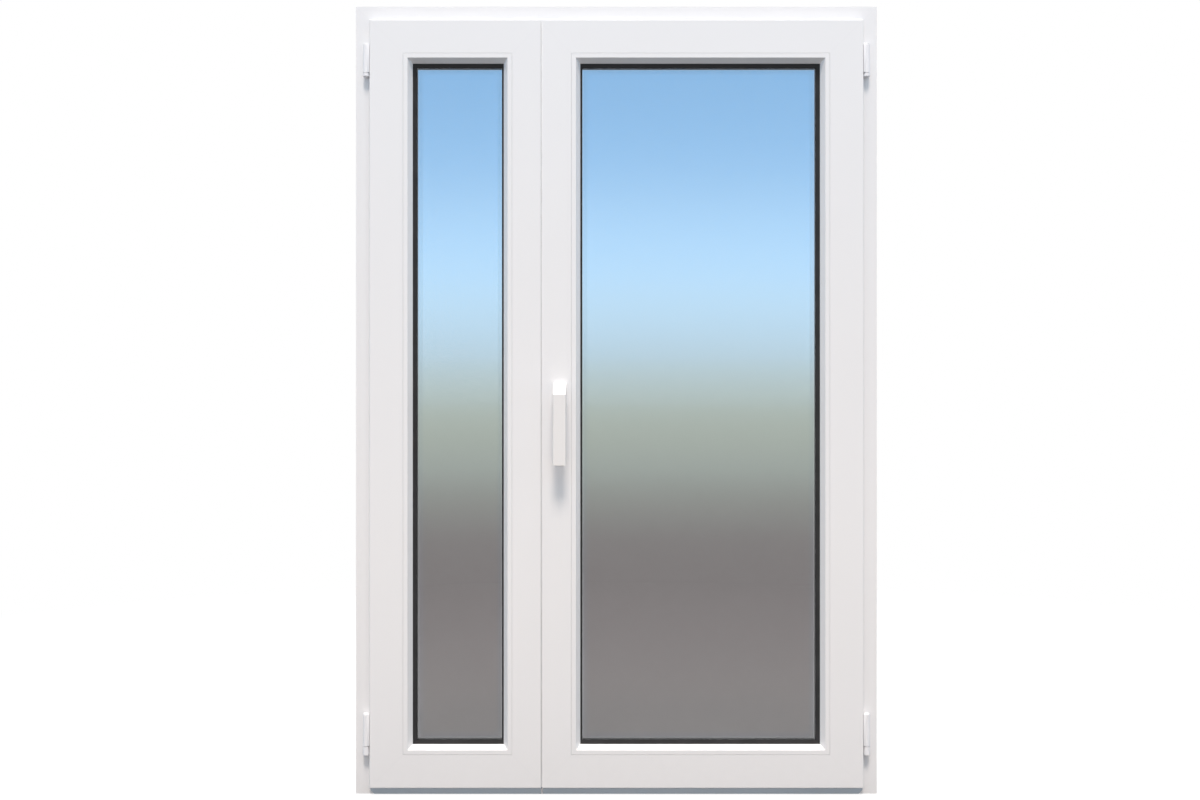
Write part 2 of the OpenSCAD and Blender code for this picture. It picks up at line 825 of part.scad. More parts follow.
// Seal on the back of a right-hand leaf's flange, cut away at the hinges, foot and meeting edge
module overlap_gasket(r, stop_x) {
    lap = frame_body - frame_face;
    difference() {
        ring(r, lap * 0.25, lap * 0.7, flange_back, frame_room - soft_gap);
        block([-door_w, -frame_d, -door_h], [door_w, frame_d, sash_foot + sill_h]);
        block([-door_w, -frame_d, -door_h], [stop_x, frame_d, 2 * door_h]);
        for (h = [[upper_hinge_z, upper_hinge_h], [lower_hinge_z, lower_hinge_h]])
            block([body_x, -frame_d, h[0] - 2], [door_w, frame_d, h[0] + h[1] + 2]);
    }
}

module active_overlap_gasket() {
    color(black) overlap_gasket(active_rect, active_edge + 1);
}

module passive_overlap_gasket() {
    color(black) mirror([1, 0, 0]) overlap_gasket([-passive_rect[1], -passive_rect[0], floor_gap, leaf_top],
        -passive_edge + 1);
}

// Bulb seal behind the flange of a meeting stile
module meeting_seal(x0, x1) {
    bulb = 3.5;
    y = flange_back + bulb + 1;
    dir = sign(x1 - x0);
    height = sash_head - sash_foot;
    translate([x1 - dir * bulb, y, sash_foot]) cylinder(h = height, r = bulb);
    block([min(x0, x1 - dir * bulb), y - 1.5, sash_foot], [max(x0, x1 - dir * bulb), y + 1.5, sash_head]);
}

module active_meeting_seal() {
    color(black) meeting_seal(active_body, active_edge - seam_gap / 2 + soft_gap);
}

module passive_meeting_seal() {
    color(black) meeting_seal(passive_body, passive_edge + seam_gap / 2 - soft_gap);
}

// Sweep seal under a sash, over the threshold
module bottom_seal(x0, x1) {
    y = sash_out - 11;
    lip = 3;
    block([x0, y - 5, sash_foot - 4], [x1, y + 5, sash_foot]);
    block([x0, y - lip / 2, sill_h + soft_gap], [x1, y + lip / 2, sash_foot - 4]);
}

module active_bottom_seal() {
    color(black) bottom_seal(active_body + 2, body_x - 2);
}

module passive_bottom_seal() {
    color(black) bottom_seal(-body_x + 2, passive_body - 2);
}

module active_upper_hinge() {
    color(white) hinge_leaf(upper_hinge_z, upper_hinge_h, upper_knuckle_h);
}

module active_lower_hinge() {
    color(white) hinge_leaf(lower_hinge_z, lower_hinge_h, lower_knuckle_h);
}

module passive_upper_hinge() {
    color(white) mirror([1, 0, 0]) hinge_leaf(upper_hinge_z, upper_hinge_h, upper_knuckle_h);
}

module passive_lower_hinge() {
    color(white) mirror([1, 0, 0]) hinge_leaf(lower_hinge_z, lower_hinge_h, lower_knuckle_h);
}

module active_hinge_screws() {
    color(steel) leaf_screws();
}

module passive_hinge_screws() {
    color(steel) mirror([1, 0, 0]) leaf_screws();
}

// Long steel face plate on the meeting edge, slotted for the cams
module lock_faceplate() {
    slot = cam_r + 0.5;
    color(steel) difference() {
        block([active_body, lock_y - face_w / 2, rod_foot - plate_end],
            [active_body + face_t, lock_y + face_w / 2, rod_top + plate_end]);
        for (z = upper_cams) cam_slot(z - rod_travel, z, slot);
        for (z = lower_cams) cam_slot(z, z + rod_travel, slot);
    }
}

// Round-ended slot through the face plate
module cam_slot(z0, z1, r) {
    for (z = [z0, z1]) hole_x(active_body - cut, active_body + face_t + cut, lock_y, z, r);
    block([active_body - cut, lock_y - r, z0], [active_body + face_t + cut, lock_y + r, z1]);
}

// Case of the lock, open above and below for the two rods
module lock_gearbox() {
    half = rod_w / 2 + slide_play;
    rack_out = pitch_r + rack_ded + rack_body + slide_play;
    color(steel) difference() {
        block([active_body + face_t + seat, lock_y - half - case_wall, spindle_z - case_h / 2],
            [case_back, lock_y + half + case_wall, spindle_z + case_h / 2]);
        block([spindle_x - rack_out, lock_y - half, spindle_z - case_h],
            [spindle_x + rack_out, lock_y + half, spindle_z + case_h]);
        hole_y(lock_y - frame_d, lock_y + frame_d, spindle_x, spindle_z, hub_r + 0.05);
        for (s = [-1, 1])
            hole_y(lock_y - frame_d, lock_y + frame_d, spindle_x, spindle_z + s * screw_pitch / 2,
                handle_screw_r + hole_play);
    }
}

// Involute of the pinion's base circle, as polar [radius, angle] at roll angle t
base_r = pitch_r * cos(pressure);
function roll(r) = sqrt(max(0, r * r / (base_r * base_r) - 1)) * 180 / PI;
function involute_angle(r) = roll(r) - atan(roll(r) * PI / 180);
half_tooth = 90 / teeth - backlash / pitch_r * 90 / PI + involute_angle(pitch_r);

// Flank of one tooth, base circle to tip
function flank(side, n = 5) = [for (i = [0:n]) let (r = base_r + (pitch_r + gear_add - base_r) * i / n,
    a = side * (half_tooth - involute_angle(r))) r * [cos(a), sin(a)]];
function reversed(list) = [for (i = [len(list) - 1:-1:0]) list[i]];

// Pinion on the spindle, with a tooth on each rack's pitch line
module lock_pinion() {
    root_r = pitch_r - 0.8 * gear_m;
    color(steel) translate([spindle_x, lock_y, spindle_z]) rotate([90, 0, 0]) difference() {
        union() {
            translate([0, 0, -rod_w / 2]) linear_extrude(rod_w) union() {
                circle(root_r);
                for (i = [0:teeth - 1]) rotate(i * 360 / teeth)
                    polygon(concat([[0, 0]], flank(-1), reversed(flank(1))));
            }
            half = rod_w / 2 + slide_play + case_wall;
            translate([0, 0, -half]) cylinder(h = 2 * half, r = hub_r);
        }
        hole = spindle_a + hole_play;
        translate([-hole / 2, -hole / 2, -rod_w * 2]) cube([hole, hole, rod_w * 4]);
    }
}

// Row of rack teeth on the left of the pinion, centred on its axis height
module rack_teeth(first, last) {
    half_pitch = rack_pitch / 4 - backlash / 2;
    tip = half_pitch - rack_add * tan(pressure);
    root = half_pitch + rack_ded * tan(pressure);
    for (i = [first:last]) translate([-pitch_r, (i + 0.5) * rack_pitch])
        polygon([[-rack_ded - 0.5, -root], [-rack_ded, -root], [rack_add, -tip], [rack_add, tip],
            [-rack_ded, root], [-rack_ded - 0.5, root]]);
}

// Outline of the upper rod, about the spindle: rack, jog and long bar
module upper_rod_outline() {
    rack_back = -pitch_r - rack_ded - rack_body;
    bar_front = rod_back - rod_t - spindle_x;
    jog_z = case_h / 2 + rod_travel + jog_clear;
    rack_teeth(-2, 4);
    polygon([[rack_back, -2 * rack_pitch], [-pitch_r - rack_ded, -2 * rack_pitch],
        [-pitch_r - rack_ded, jog_z + jog_h], [bar_front + rod_t, jog_z + jog_h],
        [bar_front + rod_t, rod_top - spindle_z], [bar_front, rod_top - spindle_z], [bar_front, jog_z],
        [rack_back, jog_z]]);
}

// Outline of the lower rod: its rack is on the other side of the pinion
module lower_rod_outline() {
    rack_back = pitch_r + rack_ded + rack_body;
    bar_front = rod_back - rod_t - spindle_x;
    jog_z = -case_h / 2 - rod_travel - jog_clear;
    rotate(180) rack_teeth(-2, 4);
    polygon([[rack_back, 2 * rack_pitch], [pitch_r + rack_ded, 2 * rack_pitch],
        [pitch_r + rack_ded, jog_z], [bar_front, jog_z], [bar_front, rod_foot - spindle_z],
        [bar_front + rod_t, rod_foot - spindle_z], [bar_front + rod_t, jog_z - jog_h],
        [rack_back, jog_z - jog_h]]);
}

// Rod with its roller cams
module lock_rod(cams) {
    translate([spindle_x, lock_y + rod_w / 2, spindle_z]) rotate([90, 0, 0]) linear_extrude(rod_w) children();
    for (z = cams) {
        hole_x(cam_tip, rod_back - rod_t / 2, lock_y, z, cam_r * 0.7);
        hole_x(cam_tip, active_body - 1.5, lock_y, z, cam_r);
    }
}

module upper_lock_rod() {
    color(steel) lock_rod(upper_cams) upper_rod_outline();
}

module lower_lock_rod() {
    color(steel) lock_rod(lower_cams) lower_rod_outline();
}

// Striker plates for the cams on the passive leaf's edge
module lock_keeps() {
    half = 24;
    jaw = 4;
    keep_back = 3;
    lip_x = passive_edge - 1;
    levels = concat([for (c = upper_cams) c - rod_travel / 2], [for (c = lower_cams) c + rod_travel / 2]);
    color(steel) for (z = levels) {
        block([passive_body, lock_y - face_w / 2, z - half],
            [passive_body + keep_back, lock_y + face_w / 2, z + half]);
        for (s = [-1, 1])
            block([passive_body, lock_y - face_w / 2, z + s * (half - jaw / 2) - jaw / 2],
                [lip_x, lock_y + face_w / 2, z + s * (half - jaw / 2) + jaw / 2]);
    }
}

// Slotted plates over the two flush bolts
module flush_bolt_plates() {
    color(steel) {
        bolt_plate();
        bolt_mirror() bolt_plate();
    }
}

module bolt_plate() {
    tab_z = sash_head - bolt_hide - tab_at;
    difference() {
        block([passive_body - face_t, lock_y - face_w / 2, tab_z - plate_l / 2],
            [passive_body, lock_y + face_w / 2, tab_z + plate_l / 2]);
        block([passive_body - face_t - cut, lock_y - tab_w / 2 - slide_play, tab_z - tab_h / 2 - 1],
            [passive_body + cut, lock_y + tab_w / 2 + slide_play, tab_z + tab_h / 2 + bolt_travel + 1]);
    }
}

// Round bolt with a thumb tab
module flush_bolt() {
    top = sash_head - bolt_hide;
    tab_z = top - tab_at;
    hole_z(top - bolt_l, top - bolt_tip, bolt_x, lock_y, bolt_r);
    translate([bolt_x, lock_y, top - bolt_tip]) cylinder(h = bolt_tip, r1 = bolt_r, r2 = bolt_r - 1.5);
    block([bolt_x, lock_y - tab_w / 2, tab_z - tab_h / 2],
        [passive_body + 2, lock_y + tab_w / 2, tab_z + tab_h / 2]);
}

module upper_flush_bolt() {
    color(steel) flush_bolt();
}

module lower_flush_bolt() {
    color(steel) bolt_mirror() flush_bolt();
}

// Base of the handle, with rounded upright edges
module handle_base() {
    round_r = 5;
    color(white) difference() {
        translate([spindle_x, sash_room, spindle_z]) rotate([90, 0, 0]) linear_extrude(rosette_t) union() {
            for (sx = [-1, 1], sz = [-1, 1])
                translate([sx * (rosette_w / 2 - round_r), sz * (rosette_h / 2 - round_r)]) circle(round_r);
            square([rosette_w - 2 * round_r, rosette_h], center = true);
            square([rosette_w, rosette_h - 2 * round_r], center = true);
        }
        hole_y(sash_room - rosette_t - cut, sash_room + cut, spindle_x, spindle_z, journal_r + 0.05);
        for (s = [-1, 1]) {
            hole_y(sash_room - rosette_t - cut, sash_room + cut, spindle_x, spindle_z + s * screw_pitch / 2,
                handle_screw_r + hole_play);
            hole_y(sash_room - rosette_t - cut, sash_room - rosette_t + 3, spindle_x,
                spindle_z + s * screw_pitch / 2, 5);
        }
    }
}

// Screws through the base and the sash into the gearbox
module handle_screws() {
    head = sash_room - rosette_t + 3;
    color(steel) for (s = [-1, 1]) {
        hole_y(head, lock_y - rod_w / 2 - slide_play - 0.3, spindle_x, spindle_z + s * screw_pitch / 2,
            handle_screw_r);
        hole_y(head - 2.5, head, spindle_x, spindle_z + s * screw_pitch / 2, 4.5);
    }
}

// Side view of the lever, as [depth, height]: neck, slope, flat bar
function lever_side(root_y, front_y, top, foot) = [[root_y, top - 2], [root_y - 2, top],
    [front_y, top - slope_h], [front_y, foot + 2], [front_y + 2, foot], [front_y + lever_t - 2, foot],
    [front_y + lever_t, foot + 2],
    [front_y + lever_t, spindle_z - lever_rise - 4], [root_y, spindle_z - lever_rise + 2]];

// Front view of the right half of the lever, about the spindle's upright, foot first
function lever_half(top, foot) = let (
    side = lever_w / 2,
    turn = asin((side - lever_round) / foot_round),
    rise = foot_round * (1 - cos(turn)) + lever_round)
    concat(arc([0, foot + foot_round], foot_round, -90, turn - 90),
        arc([side - lever_round, foot + rise], lever_round, turn - 80, 0),
        [[side, top - slope_h], [side + lever_flare, top + cut]]);

// Right half of the lever seen from above, with its front edge rounded, as [width, depth]
function lever_plan(root_y, front_y) = concat(
    arc([lever_w / 2 - lever_edge, front_y + lever_edge], lever_edge, -90, 0),
    [[lever_w / 2 + lever_flare + cut, root_y], [lever_w / 2 + lever_flare + cut, sash_room]]);

// Points of a right half and of its mirror image
function both(half) = concat(half, [for (i = [len(half) - 1:-1:0]) [-half[i][0], half[i][1]]]);

// Lever: a flat bar that slopes from its neck, turning in the base by a round journal
lever_flare = 0.5;
lever_round = 4;
foot_round = 44;
lever_edge = 2;
module handle_lever() {
    root_y = sash_room - rosette_t - neck_gap;
    front_y = sash_room - lever_reach;
    top = spindle_z + lever_rise;
    foot = spindle_z - lever_drop;
    hole = spindle_a + hole_play;
    color(white) difference() {
        union() {
            intersection() {
                translate([spindle_x - lever_w, 0, 0]) rotate([90, 0, 90]) linear_extrude(2 * lever_w)
                    polygon(lever_side(root_y, front_y, top, foot));
                translate([spindle_x, sash_room, 0]) rotate([90, 0, 0]) linear_extrude(lever_reach + cut)
                    polygon(both(lever_half(top, foot)));
                translate([spindle_x, 0, foot - cut]) linear_extrude(top - foot + 2 * cut)
                    polygon(both(lever_plan(root_y, front_y)));
            }
            hole_y(root_y - 1, sash_room - 1, spindle_x, spindle_z, journal_r);
        }
        block([spindle_x - hole / 2, root_y - spindle_in - 0.5, spindle_z - hole / 2],
            [spindle_x + hole / 2, sash_room, spindle_z + hole / 2]);
    }
}

// Square bar from the lever through the pinion
module handle_spindle() {
    front_y = sash_room - rosette_t - neck_gap - spindle_in;
    color(steel) block([spindle_x - spindle_a / 2, front_y, spindle_z - spindle_a / 2],
        [spindle_x + spindle_a / 2, lock_y + rod_w / 2 + case_wall, spindle_z + spindle_a / 2]);
}

outer_frame();
threshold_base();
threshold_rail();
threshold_joint_strip();
frame_gasket();
head_bolt_keep();
threshold_bolt_keep();
right_upper_hinge_bracket();
right_lower_hinge_bracket();
left_upper_hinge_bracket();
left_lower_hinge_bracket();
hinge_pins();
hinge_bracket_screws();
active_sash();
active_bead_top();
active_bead_bottom();
active_bead_meeting();
active_bead_hinge();
active_inner_pane();
active_outer_pane();
active_spacer();
active_inner_gasket();
active_outer_gasket();
active_setting_blocks();
active_overlap_gasket();
active_meeting_seal();
active_bottom_seal();
active_upper_hinge();
active_lower_hinge();
active_hinge_screws();
lock_faceplate();
lock_gearbox();
handle_base();
handle_screws();
handle_lever();
handle_spindle();
lock_pinion();
upper_lock_rod();
lower_lock_rod();
passive_sash();
passive_bead_top();
passive_bead_bottom();
passive_bead_meeting();
passive_bead_hinge();
passive_inner_pane();
passive_outer_pane();
passive_spacer();
passive_inner_gasket();
passive_outer_gasket();
passive_setting_blocks();
passive_overlap_gasket();
passive_meeting_seal();
passive_bottom_seal();
passive_upper_hinge();
passive_lower_hinge();
passive_hinge_screws();
lock_keeps();
flush_bolt_plates();
upper_flush_bolt();
lower_flush_bolt();
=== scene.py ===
"""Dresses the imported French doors: finishes, small fittings, studio light and camera."""

import logging
import math
from dataclasses import dataclass, field
from enum import Enum
from typing import Any, Callable, ClassVar, Dict, Iterable, List, Sequence, Tuple

import bpy
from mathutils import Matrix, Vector

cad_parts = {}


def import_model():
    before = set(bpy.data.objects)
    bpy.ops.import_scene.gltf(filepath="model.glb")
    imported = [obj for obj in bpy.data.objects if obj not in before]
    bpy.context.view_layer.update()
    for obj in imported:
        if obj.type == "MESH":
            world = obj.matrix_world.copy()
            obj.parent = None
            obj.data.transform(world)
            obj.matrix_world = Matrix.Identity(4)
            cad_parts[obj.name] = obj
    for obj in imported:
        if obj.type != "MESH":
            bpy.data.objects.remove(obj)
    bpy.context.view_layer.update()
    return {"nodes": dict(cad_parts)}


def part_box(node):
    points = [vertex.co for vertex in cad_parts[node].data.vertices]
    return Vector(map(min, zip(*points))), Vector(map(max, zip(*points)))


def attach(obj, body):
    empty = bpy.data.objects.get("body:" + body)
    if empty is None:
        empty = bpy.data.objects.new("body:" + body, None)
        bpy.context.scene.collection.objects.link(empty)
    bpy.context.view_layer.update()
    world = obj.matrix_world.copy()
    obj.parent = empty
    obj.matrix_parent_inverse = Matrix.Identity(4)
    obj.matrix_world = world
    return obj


LOG = logging.getLogger("french_doors")

Colour = Tuple[float, float, float, float]
Rect = Tuple[float, float, float, float]
Tint = Tuple[float, float, float]
Point = Tuple[float, float, float]
Span = Tuple[float, float]

SIDES = ("Left", "Right", "Bottom", "Top")
WHITE: Colour = (1.0, 1.0, 1.0, 1.0)
ROOMWARD = Vector((0.0, -1.0, 0.0))
OUTWARD = Vector((0.0, 1.0, 0.0))
DOWNWARD = Vector((0.0, 0.0, -1.0))


class Slot(Enum):
    """Material slots of the record that the small pieces use."""

    PROFILE = "white_profile"
    COATING = "white_coating"
    ZINC = "zinc_steel"


class Hand(Enum):
    """The two leaves, by the word that their nodes start with."""

    ACTIVE = "active"
    PASSIVE = "passive"


class Tree:
    """Places and joins nodes in one shader tree."""

    MIX_INPUTS = (0, 6, 7)
    MIX_RESULT = 2
    LONG_RAMP = 4

    def __init__(self, tree: bpy.types.NodeTree) -> None:
        """Keeps the tree and empties it.

        Args:
            tree: The node tree to fill.
        """
        self.tree = tree
        self.tree.nodes.clear()

    def join(self, source: bpy.types.NodeSocket, target: bpy.types.NodeSocket) -> None:
        """Links an output to an input."""
        self.tree.links.new(source, target)

    def feed(self, socket: bpy.types.NodeSocket, value: Any) -> None:
        """Gives an input its link or its value.

        Args:
            socket: The input.
            value: A socket to link or a value to set.
        """
        if isinstance(value, bpy.types.NodeSocket):
            self.join(value, socket)
        else:
            socket.default_value = value

    def add(self, kind: str, settings: Dict[str, Any] | None = None, **inputs: Any) -> bpy.types.Node:
        """Adds a node.

        Args:
            kind: Blender's name for the node type.
            settings: Properties of the node itself.
            **inputs: Values or sockets for inputs, with _ for a space in a name.

        Returns:
            The new node.
        """
        node = self.tree.nodes.new(kind)
        for name, value in (settings or {}).items():
            setattr(node, name, value)
        for name, value in inputs.items():
            self.feed(node.inputs[name.replace("_", " ")], value)
        return node

    def math(self, operation: str, first: Any, second: Any = 0.0, clamp: bool = False) -> bpy.types.NodeSocket:
        """Adds a Math node.

        Args:
            operation: The operation's name.
            first: First value or socket.
            second: Second value or socket.
            clamp: Whether the result is held between 0 and 1.

        Returns:
            The result socket.
        """
        node = self.add("ShaderNodeMath", {"operation": operation, "use_clamp": clamp})
        for index, value in enumerate((first, second)):
            self.feed(node.inputs[index], value)
        return node.outputs[0]

    def place(self, axis: str | None = None) -> bpy.types.NodeSocket:
        """Gives the point on the object, or one of its coordinates.

        Args:
            axis: X, Y or Z, or nothing for the whole point.

        Returns:
            The socket that carries it.
        """
        point = self.add("ShaderNodeTexCoord").outputs["Object"]
        if axis is None:
            return point
        return self.add("ShaderNodeSeparateXYZ", Vector=point).outputs[axis]

    def mix(self, factor: Any, first: Any, second: Any, blend: str = "MIX") -> bpy.types.NodeSocket:
        """Mixes two colours.

        Args:
            factor: Share of the second colour.
            first: First colour or socket.
            second: Second colour or socket.
            blend: Blend mode.

        Returns:
            The mixed colour's socket.
        """
        node = self.add("ShaderNodeMix", {"data_type": "RGBA", "blend_type": blend})
        for index, value in zip(self.MIX_INPUTS, (factor, first, second)):
            self.feed(node.inputs[index], value)
        return node.outputs[self.MIX_RESULT]

    def blend(self, factor: bpy.types.NodeSocket, first: bpy.types.Node, second: bpy.types.Node) -> bpy.types.Node:
        """Mixes two shaders.

        Args:
            factor: Share of the second shader.
            first: First shader's node.
            second: Second shader's node.

        Returns:
            The mixing node.
        """
        node = self.add("ShaderNodeMixShader", Fac=factor)
        self.join(first.outputs[0], node.inputs[1])
        self.join(second.outputs[0], node.inputs[2])
        return node

    def group(self, group: bpy.types.NodeTree, **inputs: Any) -> bpy.types.Node:
        """Places a shared effect, with values or sockets for its inputs, and gives its node."""
        return self.add("ShaderNodeGroup", {"node_tree": group}, **inputs)

    def ramp(self, factor: bpy.types.NodeSocket, stops: Sequence[Tuple[float, Colour]]) -> bpy.types.NodeSocket:
        """Adds a colour ramp.

        Args:
            factor: What runs along the ramp.
            stops: Places and colours, in order.

        Returns:
            The ramp's colour socket.
        """
        node = self.add("ShaderNodeValToRGB", Fac=factor)
        bar = node.color_ramp
        bar.interpolation = "CARDINAL" if len(stops) >= self.LONG_RAMP else "EASE"
        while len(bar.elements) < len(stops):
            bar.elements.new(1.0)
        for element, (position, colour) in zip(bar.elements, stops):
            element.position = position
            element.color = colour
        return node.outputs["Color"]


class Effects:
    """Shader effects that several finishes share, each built once."""

    FLOAT = "NodeSocketFloat"
    COLOUR = "NodeSocketColor"
    VECTOR = "NodeSocketVector"

    def __init__(self) -> None:
        """Builds the groups."""
        sides = dict.fromkeys(SIDES, self.FLOAT)
        self.mottle = self._make("tone_mottle", self._mottle,
                                 {"Colour": self.COLOUR, "Scale": self.FLOAT, "Amount": self.FLOAT},
                                 {"Colour": self.COLOUR, "Mask": self.FLOAT})
        self.relief = self._make("fine_relief", self._relief, {"Scale": self.FLOAT, "Detail": self.FLOAT},
                                 {"Height": self.FLOAT})
        self.mitre = self._make("mitre_line", self._mitre, {**sides, "Reach": self.FLOAT, "Width": self.FLOAT},
                                {"Mask": self.FLOAT})
        self.border = self._make("edge_border", self._border, {**sides, "Width": self.FLOAT}, {"Mask": self.FLOAT})
        self.drawn = self._make("drawn_lines", self._drawn, {"Stretch": self.VECTOR, "Scale": self.FLOAT},
                                {"Mask": self.FLOAT})
        self.foot = self._make("foot_dust", self._foot,
                               {"Colour": self.COLOUR, "Dust": self.COLOUR, "Height": self.FLOAT,
                                "Amount": self.FLOAT}, {"Colour": self.COLOUR})

    def _make(self, name: str, fill: Callable[[Tree, bpy.types.Node, bpy.types.Node], None],
              inputs: Dict[str, str], outputs: Dict[str, str]) -> bpy.types.NodeTree:
        """Makes one group with its sockets and fills it.

        Args:
            name: Name of the group.
            fill: Method that places its nodes.
            inputs: Input names and socket types.
            outputs: Output names and socket types.

        Returns:
            The group.
        """
        group = bpy.data.node_groups.new(name, "ShaderNodeTree")
        for socket, kind in inputs.items():
            group.interface.new_socket(name=socket, in_out="INPUT", socket_type=kind)
        for socket, kind in outputs.items():
            group.interface.new_socket(name=socket, in_out="OUTPUT", socket_type=kind)
        tree = Tree(group)
        fill(tree, tree.add("NodeGroupInput"), tree.add("NodeGroupOutput"))
        return group

    @staticmethod
    def _mottle(tree: Tree, given: bpy.types.Node, out: bpy.types.Node) -> None:
        """Slow drift of tone over a surface.

        Args:
            tree: Tree of the group.
            given: Its input node.
            out: Its output node.
        """
        noise = tree.add("ShaderNodeTexNoise", Vector=tree.place(), Scale=given.outputs["Scale"], Detail=4.0,
                         Roughness=0.55)
        drift = tree.math("SUBTRACT", noise.outputs["Fac"], 0.5)
        level = tree.math("ADD", tree.math("MULTIPLY", drift, given.outputs["Amount"]), 1.0)
        shade = tree.add("ShaderNodeCombineXYZ", X=level, Y=level, Z=level).outputs[0]
        colour = tree.mix(1.0, given.outputs["Colour"], shade, "MULTIPLY")
        tree.join(colour, out.inputs["Colour"])
        tree.join(noise.outputs["Fac"], out.inputs["Mask"])

    @staticmethod
    def _relief(tree: Tree, given: bpy.types.Node, out: bpy.types.Node) -> None:
        """Fine unevenness of a moulded, coated or extruded skin.

        Args:
            tree: Tree of the group.
            given: Its input node.
            out: Its output node.
        """
        noise = tree.add("ShaderNodeTexNoise", Vector=tree.place(), Scale=given.outputs["Scale"],
                         Detail=given.outputs["Detail"], Roughness=0.5)
        tree.join(noise.outputs["Fac"], out.inputs["Height"])

    @staticmethod
    def _inset(tree: Tree, given: bpy.types.Node) -> Tuple[bpy.types.NodeSocket, bpy.types.NodeSocket]:
        """Measures how far a point lies inside a rectangle.

        Args:
            tree: Tree of the group.
            given: Its input node, with the rectangle's four sides.

        Returns:
            The distances to the nearer upright side and to the nearer level one.
        """
        across = tree.place("X")
        up = tree.place("Z")
        side = tree.math("MINIMUM", tree.math("SUBTRACT", across, given.outputs["Left"]),
                         tree.math("SUBTRACT", given.outputs["Right"], across))
        end = tree.math("MINIMUM", tree.math("SUBTRACT", up, given.outputs["Bottom"]),
                        tree.math("SUBTRACT", given.outputs["Top"], up))
        return side, end

    @staticmethod
    def _mitre(tree: Tree, given: bpy.types.Node, out: bpy.types.Node) -> None:
        """Hair line of the welded mitres at the corners of a rectangle.

        Args:
            tree: Tree of the group.
            given: Its input node.
            out: Its output node.
        """
        side, end = Effects._inset(tree, given)
        off = tree.math("ABSOLUTE", tree.math("SUBTRACT", side, end))
        line = tree.math("SUBTRACT", 1.0, tree.math("DIVIDE", off, given.outputs["Width"]), True)
        near = tree.math("LESS_THAN", side, given.outputs["Reach"])
        tree.join(tree.math("MULTIPLY", line, near), out.inputs["Mask"])

    @staticmethod
    def _border(tree: Tree, given: bpy.types.Node, out: bpy.types.Node) -> None:
        """Strip along the inside of a rectangle's four sides.

        Args:
            tree: Tree of the group.
            given: Its input node.
            out: Its output node.
        """
        side, end = Effects._inset(tree, given)
        width = given.outputs["Width"]
        full = tree.math("MULTIPLY", width, 0.8)
        near = tree.add("ShaderNodeMapRange", {"interpolation_type": "SMOOTHSTEP"},
                        Value=tree.math("MINIMUM", side, end), From_Min=full, From_Max=width, To_Min=1.0, To_Max=0.0)
        tree.join(near.outputs[0], out.inputs["Mask"])

    @staticmethod
    def _drawn(tree: Tree, given: bpy.types.Node, out: bpy.types.Node) -> None:
        """Long fine lines left by drawing or brushing.

        Args:
            tree: Tree of the group.
            given: Its input node.
            out: Its output node.
        """
        scaled = tree.add("ShaderNodeVectorMath", {"operation": "MULTIPLY"})
        tree.join(tree.place(), scaled.inputs[0])
        tree.join(given.outputs["Stretch"], scaled.inputs[1])
        noise = tree.add("ShaderNodeTexNoise", Vector=scaled.outputs[0], Scale=given.outputs["Scale"], Detail=3.0,
                         Roughness=0.6)
        tree.join(noise.outputs["Fac"], out.inputs["Mask"])

    @staticmethod
    def _foot(tree: Tree, given: bpy.types.Node, out: bpy.types.Node) -> None:
        """Film of floor dust that thins out with height.

        Args:
            tree: Tree of the group.
            given: Its input node.
            out: Its output node.
        """
        part = tree.math("DIVIDE", tree.place("Z"), given.outputs["Height"])
        film = tree.math("SUBTRACT", 1.0, part, True)
        broken = tree.add("ShaderNodeTexNoise", Vector=tree.place(), Scale=60.0, Detail=5.0).outputs["Fac"]
        mask = tree.math("MULTIPLY", tree.math("MULTIPLY", tree.math("POWER", film, 2.0), broken),
                         given.outputs["Amount"], True)
        colour = tree.mix(mask, given.outputs["Colour"], given.outputs["Dust"])
        tree.join(colour, out.inputs["Colour"])


@dataclass(frozen=True)
class Finish:
    """A surface finish; each kind fills a material's tree.

    ROUGHNESS is the least and the greatest roughness of a kind, RELIEF its share and its depth in metres.
    """

    ROUGHNESS: ClassVar[Span]
    RELIEF: ClassVar[Span]
    name: str

    def build(self, effects: Effects) -> bpy.types.Material:
        """Makes the material.

        Args:
            effects: Shared shader effects.

        Returns:
            The finished material.
        """
        material = bpy.data.materials.new(self.name)
        material.use_nodes = True
        tree = Tree(material.node_tree)
        output = tree.add("ShaderNodeOutputMaterial")
        tree.join(self.surface(tree, effects), output.inputs["Surface"])
        return material

    def surface(self, tree: Tree, effects: Effects) -> bpy.types.NodeSocket:
        """Places the finish's nodes; each kind has its own.

        Args:
            tree: Tree of the material.
            effects: Shared shader effects.

        Returns:
            The shader socket for the surface.
        """
        raise NotImplementedError

    def shader(self, tree: Tree, colour: bpy.types.NodeSocket, mask: bpy.types.NodeSocket,
               height: bpy.types.NodeSocket, **more: float) -> bpy.types.NodeSocket:
        """Places the shader with the roughness and the relief of this kind.

        Args:
            tree: Tree of the material.
            colour: Colour socket.
            mask: What the roughness follows.
            height: Height of the relief.
            **more: Further inputs of the shader.

        Returns:
            The shader socket.
        """
        rough = tree.add("ShaderNodeMapRange", Value=mask, To_Min=self.ROUGHNESS[0], To_Max=self.ROUGHNESS[1])
        bump = tree.add("ShaderNodeBump", Height=height, Strength=self.RELIEF[0], Distance=self.RELIEF[1])
        return tree.add("ShaderNodeBsdfPrincipled", Base_Color=colour, Roughness=rough.outputs[0],
                        Normal=bump.outputs["Normal"], **more).outputs[0]


